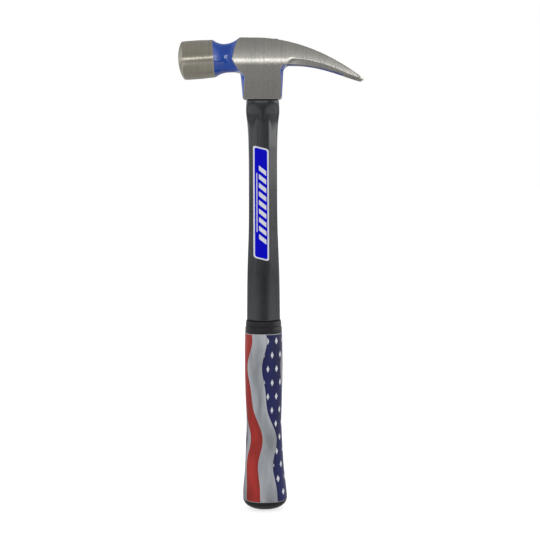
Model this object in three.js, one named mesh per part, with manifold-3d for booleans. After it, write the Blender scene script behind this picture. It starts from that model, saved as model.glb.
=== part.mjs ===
// A straight-claw framing hammer: a forged steel head bonded with epoxy to a fibreglass handle
// that wears a moulded jacket, a rubber grip and a printed film sleeve.
//
// Millimetres. +Z runs up the handle, +X points to the claw and -X to the striking face.
// Heights in this file are measured from the butt, and the finished tool is then lowered so that
// the origin lies in the middle of the hand's hold, on the handle's axis.
import * as THREE from "three";
import { mergeVertices } from "three/addons/utils/BufferGeometryUtils.js";
import Module from "manifold-3d";

// Whole tool
const OVERALL_LENGTH = 392;
const HAND_HEIGHT = 80;
const FIT_GAP = 0.3;

// Head: height of the eye, and the bell on its slightly dropped axis
const HEAD_HEIGHT = 49;
const FACE_REACH = 68;
const BELL_DIAMETER = 31;
const BELL_LENGTH = 28.8;
const BELL_TILT = THREE.MathUtils.degToRad(3.8);
const BELL_AXIS_DROP = 13.4;
const BELL_REAR_TAPER = 0.5;
const FACE_LAND_RADIUS = 4.4;
const FACE_CROWN_RADIUS = 35;
const FACE_BEVEL_WIDTH = 3.5;
const FACE_BEVEL_DEPTH = 2.2;

// Neck between the bell and the cheeks
const NECK_WAIST_SHARE = 0.45;
const NECK_RISE = 11;
const NECK_FALL = 11.9;
const NECK_HALF_WIDTH = 10.6;
const NECK_SQUARENESS = 2.7;
const NECK_OVERRUN = 6;

// Cheeks and eye skirt
const CHEEK_FRONT = 17.4;
const CHEEK_POINT_REACH = 24.7;
const CHEEK_WIDTH = 26.6;
const RIDGE_DROP = 17.4;
const UPPER_LEAN = THREE.MathUtils.degToRad(6);
const LOWER_LEAN = THREE.MathUtils.degToRad(4.2);
const SKIRT_LENGTH = 30.4;
const SKIRT_FLARE = 2.9;
const SKIRT_SQUARENESS = 4;
const RIM_CHAMFER = 1;

// Claw
const CLAW_REACH = 81.2;
const CLAW_DROP = 33.2;
const CLAW_ROOT_DEPTH = 21.6;
const CLAW_TIP_THICKNESS = 1.2;
const CLAW_TIP_WIDTH = 33;
const CLAW_CORNER_RADIUS = 5;
const CLAW_FILLET = 5.8;
const CLAW_BEVEL_LEAN = THREE.MathUtils.degToRad(30);
const CLAW_BLEND = 2;
const CLAW_BACK_START = 8;
const CLAW_BACK_PULL = 8;
const CLAW_BELLY_ARCH = 1;
const CLAW_BELLY_PULL = 19.5;
const CLAW_BELLY_LIFT = 4.2;
const CLAW_RIDGE_ARCH = 0.6;
const CLAW_RIDGE_PULL = 19;
const CLAW_RIDGE_LIFT = 5;
const CLAW_TIP_UNDERCUT = 0.4;
const SLOT_LENGTH = 48;
const SLOT_ROOT_WIDTH = 2.5;
const SLOT_MOUTH_WIDTH = 9.2;
const SLOT_BEVEL = 1.2;
const SLOT_OVERRUN = 4;
const SLOT_END_MARGIN = 0.5;

// Eye and what is bonded into it
const EYE_WALL = 3.2;
const EYE_PINCH = 0.9;
const EYE_FLARE = 1;
const EYE_SQUARENESS = 3;
const CUT_OVERRUN = 5;
const EPOXY_RECESS = 0.8;
const EPOXY_CAP = 5;
const CORE_LENGTH = 18.2;
const CORE_WIDTH = 11.4;
const CORE_SQUARENESS = 3;

// Jacket: half depths along X, and the share of them that its sides measure
const SHOULDER_HALF = 13.6;
const SHOULDER_DROP = 9.9;
const SHOULDER_RISE = 28;
const SHOULDER_SWELL = 9;
const SHOULDER_FADE = 16;
const SHOULDER_CROWN = 2;
const SHOULDER_DRAFT = 0.3;
const SHOULDER_RIM = 1.2;
const WAIST_HALF = 11.55;
const SEAT_HALF = 13.9;
const SEAT_STEP = 2.3;
const JACKET_SLENDER = 0.77;
const JACKET_FACET = 1.46;
const JACKET_EDGE = 16;
const SHOULDER_EDGE = 5;

// Grip, its film and the handle's label
const GRIP_LENGTH = 161.6;
const COLLAR_HEIGHT = 10.2;
const COLLAR_LIP = 0.65;
const COLLAR_GROOVE = 0.45;
const COLLAR_GROOVE_HALF = 1;
const COLLAR_EDGE = 1.4;
const COLLAR_EDGE_TOP = 0.4;
const GRIP_BELLY_HALF = 15.85;
const GRIP_WAIST_HALF = 14.65;
const BUTT_HALF = 18.6;
const BUTT_DOME = 10;
const BUTT_OFFSET = 0.6;
const BUTT_WALL = 13;
const GRIP_SLENDER = 0.82;
const GRIP_SQUARENESS = 2.4;
const FILM_THICKNESS = 0.4;
const FILM_BOTTOM = 9.2;
const LABEL_LENGTH = 91.4;
const LABEL_WIDTH = 12.8;
const LABEL_TOP_DROP = 86;
const LABEL_SHIFT = -1.6;
const LABEL_SLANT = 3.2;
const LABEL_THICKNESS = 0.3;

// Heights and lengths that follow from the sizes above
const headTop = OVERALL_LENGTH;
const skirtRim = headTop - HEAD_HEIGHT;
const ridgeHeight = headTop - RIDGE_DROP;
const cheekHalf = CHEEK_WIDTH / 2;
const bellRadius = BELL_DIAMETER / 2;
const bellRearRadius = bellRadius - BELL_REAR_TAPER;
const neckLength = FACE_REACH - BELL_LENGTH - CHEEK_FRONT;
const waistReach = CHEEK_FRONT + (1 - NECK_WAIST_SHARE) * neckLength;
const clawUnder = headTop - CLAW_ROOT_DEPTH;
const clawTip = headTop - CLAW_DROP;
const clawRoot = SKIRT_LENGTH / 2 + CLAW_FILLET;
const jacketTop = skirtRim - FIT_GAP;
const collarFoot = GRIP_LENGTH - COLLAR_HEIGHT;
const coreFoot = BUTT_WALL + FIT_GAP;
const coreTop = headTop - EPOXY_RECESS - EPOXY_CAP;
const filmSeat = FILM_THICKNESS + FIT_GAP;

const wasm = await Module();
wasm.setup();

function toSolid(geometry) {
  const bare = geometry.clone();
  bare.deleteAttribute("normal");
  bare.deleteAttribute("uv");
  const merged = mergeVertices(bare, 1e-4);
  const vertProperties = new Float32Array(merged.attributes.position.array);
  const triVerts = new Uint32Array(merged.index.array);
  return new wasm.Manifold(new wasm.Mesh({ numProp: 3, vertProperties, triVerts }));
}

function toGeometry(solid) {
  const mesh = solid.getMesh();
  const geometry = new THREE.BufferGeometry();
  geometry.setAttribute("position", new THREE.BufferAttribute(new Float32Array(mesh.vertProperties), 3));
  geometry.setIndex(new THREE.BufferAttribute(new Uint32Array(mesh.triVerts), 1));
  geometry.computeVertexNormals();
  return geometry;
}

// A closed skin over rings of equal count that turn counter-clockwise about the direction of travel.
function loft(rings) {
  const count = rings[0].length;
  const points = rings.flat();
  const index = [];
  for (let ring = 0; ring + 1 < rings.length; ring += 1) {
    for (let step = 0; step < count; step += 1) {
      const a = ring * count + step;
      const b = ring * count + ((step + 1) % count);
      index.push(a, b, b + count, a, b + count, a + count);
    }
  }
  const last = (rings.length - 1) * count;
  const foot = points.length;
  points.push(middle(rings[0]), middle(rings.at(-1)));
  for (let step = 0; step < count; step += 1) {
    const next = (step + 1) % count;
    index.push(foot, next, step, foot + 1, last + step, last + next);
  }
  const geometry = new THREE.BufferGeometry().setFromPoints(points);
  geometry.setIndex(index);
  geometry.computeVertexNormals();
  return geometry;
}

function middle(ring) {
  const sum = ring.reduce((total, point) => total.add(point), new THREE.Vector3());
  return sum.divideScalar(ring.length);
}

// Points of a superellipse whose four half axes may differ: right, left, up and down.
function superellipse({ right, left = right, up, down = up }, squareness, count) {
  const power = 2 / squareness;
  return Array.from({ length: count }, (_, step) => {
    const turn = (2 * Math.PI * step) / count;
    const across = Math.cos(turn);
    const along = Math.sin(turn);
    const u = Math.sign(across) * Math.abs(across) ** power * (across > 0 ? right : left);
    const v = Math.sign(along) * Math.abs(along) ** power * (along > 0 ? up : down);
    return new THREE.Vector2(u, v);
  });
}

function spread(from, to, steps) {
  return Array.from({ length: steps + 1 }, (_, step) => from + ((to - from) * step) / steps);
}

// A smooth value along the handle, through pairs of height and value.
function along(pairs) {
  const curve = new THREE.CatmullRomCurve3(
    pairs.map(([height, value]) => new THREE.Vector3(height, value, 0)),
    false,
    "centripetal",
  );
  const samples = curve.getPoints(160);
  return (height) => {
    const after = samples.findIndex((point) => point.x >= height);
    if (after < 1) {
      return after === 0 ? samples[0].y : samples.at(-1).y;
    }
    const low = samples[after - 1];
    const high = samples[after];
    return THREE.MathUtils.mapLinear(height, low.x, high.x, low.y, high.y);
  };
}

// Height of a profile curve in the head's side view at a given reach along X.
function heightAt(curve, reach) {
  let low = 0;
  let high = 1;
  for (let pass = 0; pass < 40; pass += 1) {
    const mid = (low + high) / 2;
    if (curve.getPoint(mid).x < reach) {
      low = mid;
    } else {
      high = mid;
    }
  }
  return curve.getPoint(low).y;
}

function curveBetween(x0, z0, x1, z1, x2, z2, x3, z3) {
  return new THREE.CubicBezierCurve(
    new THREE.Vector2(x0, z0),
    new THREE.Vector2(x1, z1),
    new THREE.Vector2(x2, z2),
    new THREE.Vector2(x3, z3),
  );
}

// Side view of the claw: its back, its underside and the ridge between its upper and lower facets.
const clawSpan = CLAW_REACH - clawRoot;
const clawBack = curveBetween(
  -CLAW_BACK_START, headTop, clawRoot + 0.31 * clawSpan, headTop,
  CLAW_REACH - CLAW_BACK_PULL, clawTip + 0.17 * CLAW_DROP, CLAW_REACH, clawTip,
);
const clawBelly = curveBetween(
  clawRoot - CLAW_BLEND, clawUnder, clawRoot + 0.4 * clawSpan, clawUnder + CLAW_BELLY_ARCH,
  CLAW_REACH - CLAW_BELLY_PULL, clawTip + CLAW_BELLY_LIFT,
  CLAW_REACH - CLAW_TIP_UNDERCUT, clawTip - CLAW_TIP_THICKNESS,
);
const clawRidge = curveBetween(
  clawRoot - CLAW_BLEND, ridgeHeight, clawRoot + 0.45 * clawSpan, ridgeHeight + CLAW_RIDGE_ARCH,
  CLAW_REACH - CLAW_RIDGE_PULL, clawTip + CLAW_RIDGE_LIFT, CLAW_REACH, clawTip - 0.6 * CLAW_TIP_THICKNESS,
);

// The bell's own frame: local X is across the head, local Y up and local Z from the face to the eye.
function bellFrame() {
  const inward = new THREE.Vector3(Math.cos(BELL_TILT), 0, Math.sin(BELL_TILT));
  const across = new THREE.Vector3(0, 1, 0);
  const up = new THREE.Vector3().crossVectors(inward, across);
  const faceHeight = headTop - BELL_AXIS_DROP - FACE_REACH * Math.tan(BELL_TILT);
  const frame = new THREE.Matrix4().makeBasis(across, up, inward);
  return frame.setPosition(-FACE_REACH, 0, faceHeight);
}

// Crowned striking face with a bevelled rim, revolved with the bell behind it.
function bell() {
  const crownEdge = bellRadius - FACE_BEVEL_WIDTH;
  const crownSag = (radius) => FACE_CROWN_RADIUS - Math.sqrt(FACE_CROWN_RADIUS ** 2 - radius ** 2);
  const landSag = crownSag(FACE_LAND_RADIUS);
  const crown = spread(FACE_LAND_RADIUS, crownEdge, 5);
  const rimStart = crownSag(crownEdge) - landSag;
  const profile = [new THREE.Vector2(0, 0)];
  crown.forEach((radius) => profile.push(new THREE.Vector2(radius, crownSag(radius) - landSag)));
  profile.push(new THREE.Vector2(bellRadius - 0.35 * FACE_BEVEL_WIDTH, rimStart + 0.5 * FACE_BEVEL_DEPTH));
  profile.push(new THREE.Vector2(bellRadius - 0.06 * FACE_BEVEL_WIDTH, rimStart + 0.9 * FACE_BEVEL_DEPTH));
  profile.push(new THREE.Vector2(bellRadius, rimStart + 1.4 * FACE_BEVEL_DEPTH));
  profile.push(new THREE.Vector2(bellRadius, 0.6 * BELL_LENGTH));
  profile.push(new THREE.Vector2(bellRearRadius, BELL_LENGTH));
  profile.push(new THREE.Vector2(0, BELL_LENGTH));
  const turned = new THREE.LatheGeometry(profile, 64);
  turned.rotateX(Math.PI / 2);
  return toSolid(turned.applyMatrix4(bellFrame()));
}

// Waisted neck that leaves the bell as a circle and opens like a horn into the cheeks.
function neck() {
  const waist = NECK_WAIST_SHARE * neckLength;
  const point = FACE_REACH - BELL_LENGTH - CHEEK_POINT_REACH - waist;
  const axisDrop = BELL_AXIS_DROP + CHEEK_FRONT * Math.tan(BELL_TILT);
  const opening = (smallest, reached, share, power) => smallest + (reached - smallest) * share ** power;
  const sections = [...spread(0, waist, 6), ...spread(waist, neckLength + NECK_OVERRUN, 14).slice(1)];
  const rings = sections.map((distance) => {
    const toBell = Math.max(0, (waist - distance) / waist);
    const toCheek = Math.max(0, distance - waist);
    const share = toCheek / (neckLength - waist);
    const size = {
      right: Math.max(
        opening(NECK_HALF_WIDTH, bellRearRadius, toBell, 2),
        opening(NECK_HALF_WIDTH, cheekHalf, toCheek / point, 2),
      ),
      up: Math.max(opening(NECK_RISE, bellRearRadius, toBell, 2), opening(NECK_RISE, axisDrop, share, 2)),
      down: Math.max(opening(NECK_FALL, bellRearRadius, toBell, 2), opening(NECK_FALL, axisDrop, share, 4)),
    };
    const squareness = THREE.MathUtils.lerp(NECK_SQUARENESS, 2, toBell);
    const depth = BELL_LENGTH + distance - (distance === 0 ? FIT_GAP : 0);
    return superellipse(size, squareness, 56).map((p) => new THREE.Vector3(p.x, p.y, depth));
  });
  return toSolid(loft(rings).applyMatrix4(bellFrame()));
}

// Half width of the lower facet at a height on the cheeks and the skirt.
function lowerFacetHalf(height) {
  return cheekHalf - (ridgeHeight - height) * Math.tan(LOWER_LEAN);
}

// Skirt round the eye, rounded in front and behind, filleted into the claw's underside.
function skirt() {
  const filletFoot = clawUnder - CLAW_FILLET;
  const straight = spread(skirtRim + RIM_CHAMFER, filletFoot, 3);
  const fillet = spread(0, Math.PI / 2, 6).slice(1);
  const section = (height, inset, flare) => {
    const taper = (SKIRT_FLARE * (height - skirtRim)) / HEAD_HEIGHT;
    const half = SKIRT_LENGTH / 2 + taper - inset;
    const size = { right: half + flare, left: half + 0.3 * taper, up: 1.28 * lowerFacetHalf(height) - inset };
    const outline = superellipse(size, SKIRT_SQUARENESS, 56);
    return outline.map((p) => new THREE.Vector3(p.x, p.y, height));
  };
  const rings = [section(skirtRim, RIM_CHAMFER, 0)];
  straight.forEach((height) => rings.push(section(height, 0, 0)));
  fillet.forEach((turn) => {
    rings.push(section(filletFoot + CLAW_FILLET * Math.sin(turn), 0, CLAW_FILLET * (1 - Math.cos(turn))));
  });
  rings.push(section(clawUnder + CLAW_BLEND, 0, 3 * CLAW_FILLET));
  return toSolid(loft(rings));
}

// Side view of the cheeks and claw, as deep as the blank before its sides are ground.
function profileBlank() {
  const outline = new THREE.Shape();
  const depth = 2 * CLAW_TIP_WIDTH;
  const back = clawBack.getPoints(26);
  const belly = clawBelly.getPoints(20).reverse();
  outline.moveTo(-0.8 * CHEEK_FRONT, clawUnder);
  outline.lineTo(-0.8 * CHEEK_FRONT, headTop);
  [...back, ...belly].forEach((p) => outline.lineTo(p.x, p.y));
  const blank = new THREE.ExtrudeGeometry(outline, { depth, bevelEnabled: false });
  blank.translate(0, 0, -depth / 2);
  return toSolid(blank.rotateX(Math.PI / 2));
}

// Half width of the claw along its ridge, spreading towards rounded tips.
function clawHalf(reach) {
  const share = Math.max(0, (reach - clawRoot) / clawSpan);
  const spreadHalf = cheekHalf + (CLAW_TIP_WIDTH / 2 - cheekHalf) * share ** 2;
  const intoCorner = Math.max(0, reach - (CLAW_REACH - CLAW_CORNER_RADIUS));
  return spreadHalf - CLAW_CORNER_RADIUS + Math.sqrt(CLAW_CORNER_RADIUS ** 2 - intoCorner ** 2);
}

// The space left by the grinding of both sides: two facets that meet in a ridge.
function groundSides() {
  const section = (reach, half, ridge, bevelLean) => {
    const knee = ridge - 2 * CLAW_FILLET;
    const topHalf = half - (headTop - ridge) * Math.tan(UPPER_LEAN);
    const kneeHalf = half - (ridge - knee) * Math.tan(bevelLean);
    const footHalf = kneeHalf - (knee - skirtRim) * Math.tan(LOWER_LEAN);
    const side = [[footHalf, skirtRim], [kneeHalf, knee], [half, ridge], [topHalf, headTop]];
    const facing = side.map(([y, z]) => [-y, z]).reverse();
    return [...side, ...facing].map(([y, z]) => new THREE.Vector3(reach, y, z));
  };
  const cheekEnd = clawRoot - CLAW_BLEND;
  const corner = CLAW_REACH - CLAW_CORNER_RADIUS;
  const tips = spread(0, 0.94, 5).map((share) => corner + CLAW_CORNER_RADIUS * share);
  const turnEnd = cheekEnd + 2 * CLAW_FILLET;
  const turning = spread(cheekEnd, turnEnd, 8).slice(1);
  const reaches = [...turning, ...spread(turnEnd, corner, 10).slice(1), ...tips.slice(1), CLAW_REACH];
  const rings = [section(-FACE_REACH, BELL_DIAMETER, ridgeHeight, LOWER_LEAN)];
  rings.push(section(-waistReach, BELL_DIAMETER, ridgeHeight, LOWER_LEAN));
  rings.push(section(-waistReach, cheekHalf, ridgeHeight, LOWER_LEAN));
  rings.push(section(cheekEnd, cheekHalf, ridgeHeight, LOWER_LEAN));
  reaches.forEach((reach) => {
    const turn = THREE.MathUtils.smoothstep(reach, cheekEnd, turnEnd);
    const lean = THREE.MathUtils.lerp(LOWER_LEAN, CLAW_BEVEL_LEAN, turn);
    rings.push(section(reach, clawHalf(reach), heightAt(clawRidge, reach), lean));
  });
  return toSolid(loft(rings));
}

// Nail slot: a long V with a round root, wider on the claw's back than under it.
function nailSlot() {
  const rootRadius = SLOT_ROOT_WIDTH / 2;
  const start = CLAW_REACH - SLOT_LENGTH;
  const reaches = [...spread(0.03, 1, 5).map((share) => start + rootRadius * share)];
  reaches.push(...spread(start + rootRadius, CLAW_REACH, 10).slice(1), CLAW_REACH + SLOT_OVERRUN);
  const rings = reaches.map((reach) => {
    const inside = Math.min(rootRadius, reach - start);
    const rounded = Math.sqrt(rootRadius ** 2 - (rootRadius - inside) ** 2);
    const half = rounded + ((SLOT_MOUTH_WIDTH - SLOT_ROOT_WIDTH) / 2) * ((reach - start) / SLOT_LENGTH);
    const within = Math.min(reach, CLAW_REACH - SLOT_END_MARGIN);
    const under = heightAt(clawBelly, within) - CLAW_TIP_THICKNESS;
    const over = heightAt(clawBack, within) + CLAW_TIP_THICKNESS;
    const topHalf = half + SLOT_BEVEL * Math.min(1, inside / rootRadius);
    const corners = [[half, under], [topHalf, over], [-topHalf, over], [-half, under]];
    return corners.map(([y, z]) => new THREE.Vector3(reach, y, z));
  });
  return toSolid(loft(rings));
}

// Eye through the head, pinched in the middle so that the bond cannot slide out. A shrink makes the filling.
function eyeRings(heights, shrink) {
  const rimLength = SKIRT_LENGTH / 2 - EYE_WALL;
  const rimWidth = lowerFacetHalf(skirtRim) - EYE_WALL;
  return heights.map((height) => {
    const share = THREE.MathUtils.clamp((height - skirtRim) / HEAD_HEIGHT, 0, 1);
    const change = EYE_FLARE * share ** 2 - EYE_PINCH * Math.sin(Math.PI * share) - shrink;
    const size = { right: rimLength + change, up: rimWidth + change };
    return superellipse(size, EYE_SQUARENESS, 40).map((p) => new THREE.Vector3(p.x, p.y, height));
  });
}

function head() {
  const inside = spread(skirtRim, headTop, 6);
  const eye = toSolid(loft(eyeRings([skirtRim - CUT_OVERRUN, ...inside, headTop + CUT_OVERRUN], 0)));
  const blank = profileBlank().add(neck()).add(skirt());
  const ground = blank.intersect(groundSides());
  return toGeometry(ground.add(bell()).subtract(eye).subtract(nailSlot()));
}

function coreSolid(grow, from, to) {
  const size = { right: CORE_LENGTH / 2 + grow, up: CORE_WIDTH / 2 + grow };
  const outline = superellipse(size, CORE_SQUARENESS, 32);
  const rings = [from, to].map((height) => outline.map((p) => new THREE.Vector3(p.x, p.y, height)));
  return toSolid(loft(rings));
}

function eyeEpoxy() {
  const foot = skirtRim + FIT_GAP;
  const filling = toSolid(loft(eyeRings(spread(foot, headTop - EPOXY_RECESS, 6), FIT_GAP)));
  return toGeometry(filling.subtract(coreSolid(FIT_GAP, skirtRim - CUT_OVERRUN, coreTop + FIT_GAP)));
}

function fibreglassCore() {
  return toGeometry(coreSolid(0, coreFoot, coreTop));
}

// Jacket section: an oblong whose corners are cut to eight soft facets that fade into the shoulder.
const shoulderHeight = jacketTop - SHOULDER_DROP;
const seatHeight = GRIP_LENGTH;
const jacketHalf = along([
  [seatHeight, SEAT_HALF],
  [seatHeight + 0.2 * (jacketTop - seatHeight), 0.75 * SEAT_HALF + 0.25 * WAIST_HALF],
  [seatHeight + 0.42 * (jacketTop - seatHeight), 0.12 * SEAT_HALF + 0.88 * WAIST_HALF],
  [seatHeight + 0.6 * (jacketTop - seatHeight), WAIST_HALF],
  [shoulderHeight - SHOULDER_RISE, WAIST_HALF],
  [shoulderHeight - SHOULDER_SWELL, 0.65 * WAIST_HALF + 0.35 * SHOULDER_HALF],
  [shoulderHeight, SHOULDER_HALF],
  [jacketTop, SHOULDER_HALF - SHOULDER_DRAFT],
]);

function jacketShape(height) {
  const half = jacketHalf(height);
  const fadeFrom = shoulderHeight - SHOULDER_FADE;
  const fade = THREE.MathUtils.smoothstep(height, fadeFrom, shoulderHeight + SHOULDER_CROWN);
  return {
    half,
    side: half * JACKET_SLENDER,
    facet: THREE.MathUtils.lerp(JACKET_FACET, 1.7, fade),
    edge: THREE.MathUtils.lerp(JACKET_EDGE, SHOULDER_EDGE, fade),
  };
}

// Reach of the rounded octagon: one along its outline, less inside it.
function jacketMeasure(x, y, { half, side, facet, edge }) {
  const across = Math.abs(x) / half;
  const depth = Math.abs(y) / side;
  return (across ** edge + depth ** edge + ((across + depth) / facet) ** edge) ** (1 / edge);
}

function jacketRing(height, count) {
  const shape = jacketShape(height);
  const outline = superellipse({ right: shape.half, up: shape.side }, 2, count);
  return outline.map((p) => {
    const outward = 1 / jacketMeasure(p.x, p.y, shape);
    return new THREE.Vector3(p.x * outward, p.y * outward, height);
  });
}

function handleJacket() {
  const seat = jacketRing(seatHeight, 48);
  const reduce = (SEAT_HALF - SEAT_STEP) / SEAT_HALF;
  const tail = (height) => seat.map((p) => new THREE.Vector3(p.x * reduce, p.y * reduce, height));
  const flareFoot = shoulderHeight - SHOULDER_RISE - SHOULDER_CROWN;
  const heights = [
    ...spread(seatHeight + FIT_GAP, flareFoot, 9),
    ...spread(flareFoot, shoulderHeight, 10).slice(1),
    ...spread(shoulderHeight, jacketTop - SHOULDER_RIM, 3).slice(1),
  ];
  const rim = jacketRing(jacketTop, 48).map((p) => new THREE.Vector3(0.95 * p.x, 0.95 * p.y, jacketTop));
  const rings = [tail(coreFoot), tail(seatHeight + FIT_GAP)];
  heights.forEach((height) => rings.push(jacketRing(height, 48)));
  rings.push(rim);
  const bore = coreSolid(FIT_GAP, coreFoot - CUT_OVERRUN, jacketTop + CUT_OVERRUN);
  return toGeometry(toSolid(loft(rings)).subtract(bore));
}

// Grip outline: half depth along X and forward shift of its middle, by height.
const gripHalf = along([
  [BUTT_DOME, BUTT_HALF],
  [BUTT_DOME + 0.04 * GRIP_LENGTH, 0.985 * BUTT_HALF],
  [0.155 * GRIP_LENGTH, 0.94 * BUTT_HALF],
  [0.225 * GRIP_LENGTH, 0.45 * BUTT_HALF + 0.55 * GRIP_WAIST_HALF],
  [0.37 * GRIP_LENGTH, 0.15 * BUTT_HALF + 0.85 * GRIP_WAIST_HALF],
  [0.465 * GRIP_LENGTH, GRIP_WAIST_HALF],
  [0.63 * GRIP_LENGTH, 0.3 * GRIP_WAIST_HALF + 0.7 * GRIP_BELLY_HALF],
  [0.765 * GRIP_LENGTH, GRIP_BELLY_HALF],
  [collarFoot, SEAT_HALF + 2.4 * COLLAR_LIP],
  [GRIP_LENGTH, SEAT_HALF + COLLAR_LIP],
]);

function gripRing(height, inset) {
  const lift = THREE.MathUtils.clamp(height / BUTT_DOME, 0, 1);
  const dome = Math.sqrt(1 - (1 - lift) ** 2);
  const half = gripHalf(Math.max(height, BUTT_DOME)) * dome;
  const toButt = THREE.MathUtils.smoothstep(height, 0, 0.4 * GRIP_LENGTH);
  const shift = BUTT_OFFSET * (1 - toButt);
  const size = { right: half - inset, up: half * GRIP_SLENDER - inset };
  const outline = superellipse(size, GRIP_SQUARENESS, 40);
  return outline.map((p) => new THREE.Vector3(p.x + shift, p.y, height));
}

function grip() {
  const rings = spread(0.02, 0.8, 6).map((share) => gripRing(share * BUTT_DOME, 0));
  rings.push(gripRing(FILM_BOTTOM, 0), gripRing(FILM_BOTTOM, filmSeat));
  filmHeights(0).slice(1, -1).forEach((height) => rings.push(gripRing(height, filmSeat)));
  const lower = 0.52 * COLLAR_HEIGHT;
  rings.push(gripRing(collarFoot, filmSeat), gripRing(collarFoot, 0));
  rings.push(gripRing(collarFoot + lower - COLLAR_GROOVE_HALF, 0));
  rings.push(gripRing(collarFoot + lower, COLLAR_GROOVE));
  rings.push(gripRing(collarFoot + lower + COLLAR_GROOVE_HALF, 0), gripRing(GRIP_LENGTH - COLLAR_EDGE, 0));
  rings.push(gripRing(GRIP_LENGTH - COLLAR_EDGE_TOP, 0.2 * COLLAR_LIP));
  rings.push(gripRing(GRIP_LENGTH, 0.6 * COLLAR_LIP));
  const seat = jacketRing(seatHeight, 48);
  const room = (SEAT_HALF - SEAT_STEP + FIT_GAP) / SEAT_HALF;
  const side = ((SEAT_HALF - SEAT_STEP) * JACKET_SLENDER + FIT_GAP) / (SEAT_HALF * JACKET_SLENDER);
  const hollow = [BUTT_WALL, GRIP_LENGTH + CUT_OVERRUN].map((height) => (
    seat.map((p) => new THREE.Vector3(p.x * room, p.y * side, height))
  ));
  return toGeometry(toSolid(loft(rings)).subtract(toSolid(loft(hollow))));
}

function filmHeights(shorten) {
  return spread(FILM_BOTTOM + shorten, collarFoot - shorten, 14);
}

// Film sleeve lying in the grip's shallow seat.
function gripFilm() {
  const heights = filmHeights(FIT_GAP);
  const outside = heights.map((height) => gripRing(height, 0));
  const inside = heights.map((height) => gripRing(height, FILM_THICKNESS));
  const count = outside[0].length;
  const points = [...outside, ...inside].flat();
  const inner = outside.length * count;
  const index = [];
  for (let ring = 0; ring + 1 < heights.length; ring += 1) {
    for (let step = 0; step < count; step += 1) {
      const a = ring * count + step;
      const b = ring * count + ((step + 1) % count);
      index.push(a, b, b + count, a, b + count, a + count);
      index.push(inner + b, inner + a, inner + b + count, inner + a, inner + a + count, inner + b + count);
    }
  }
  const last = inner - count;
  for (let step = 0; step < count; step += 1) {
    const next = (step + 1) % count;
    index.push(step, inner + next, next, step, inner + step, inner + next);
    const a = last + step;
    const b = last + next;
    index.push(a, b, inner + b, a, inner + b, inner + a);
  }
  const geometry = new THREE.BufferGeometry().setFromPoints(points);
  geometry.setIndex(index);
  geometry.computeVertexNormals();
  return geometry;
}

// Distance from the handle's axis to the jacket's side at a place on it.
function jacketSide(x, height) {
  const shape = jacketShape(height);
  let low = 0;
  let high = 1.2 * shape.side;
  for (let pass = 0; pass < 40; pass += 1) {
    const mid = (low + high) / 2;
    if (jacketMeasure(x, mid, shape) < 1) {
      low = mid;
    } else {
      high = mid;
    }
  }
  return low;
}

// Label on the near side of the jacket, with slanted ends, following the facets under it.
function handleLabel() {
  const columns = 12;
  const rows = 12;
  const top = headTop - LABEL_TOP_DROP;
  const sheet = (lift) => spread(0, LABEL_LENGTH, rows).map((down) => (
    spread(-LABEL_WIDTH / 2, LABEL_WIDTH / 2, columns).map((across) => {
      const height = top - down - LABEL_SLANT * (across / LABEL_WIDTH + 0.5);
      const x = LABEL_SHIFT + across;
      return new THREE.Vector3(x, -jacketSide(x, height) - lift, height);
    })
  ));
  const front = sheet(FIT_GAP + LABEL_THICKNESS);
  const rear = sheet(FIT_GAP);
  const rings = front.map((row, step) => [...row, ...rear[step].slice().reverse()]);
  const count = 2 * (columns + 1);
  const points = rings.flat();
  const index = [];
  for (let ring = 0; ring < rows; ring += 1) {
    for (let step = 0; step < count; step += 1) {
      const a = ring * count + step;
      const b = ring * count + ((step + 1) % count);
      index.push(a, b + count, b, a, a + count, b + count);
    }
  }
  const last = rows * count;
  for (let step = 0; step < columns; step += 1) {
    const facing = count - 1 - step;
    index.push(step, step + 1, facing - 1, step, facing - 1, facing);
    const a = last + step;
    const b = last + facing;
    index.push(a, b - 1, a + 1, a, b, b - 1);
  }
  const geometry = new THREE.BufferGeometry().setFromPoints(points);
  geometry.setIndex(index);
  geometry.computeVertexNormals();
  return geometry;
}

const tool = new THREE.Group();
tool.name = "tool";
tool.position.z = -HAND_HEIGHT;

function place(name, geometry, color, roughness, metalness) {
  const mesh = new THREE.Mesh(geometry, new THREE.MeshStandardMaterial({ color, roughness, metalness }));
  mesh.name = name;
  tool.add(mesh);
}

place("head", head(), 0x8f8c86, 0.32, 1);
place("eye_epoxy", eyeEpoxy(), 0x2b2c2e, 0.45, 0);
place("fibreglass_core", fibreglassCore(), 0xb9a96a, 0.55, 0);
place("handle_jacket", handleJacket(), 0x45484b, 0.45, 0);
place("grip", grip(), 0x1d1e20, 0.6, 0);
place("grip_film", gripFilm(), 0xa5302c, 0.3, 0);
place("handle_label", handleLabel(), 0x0a10b4, 0.35, 0);

const hammer = new THREE.Group();
hammer.name = "framing_hammer";
hammer.add(tool);

export default hammer;
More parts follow.
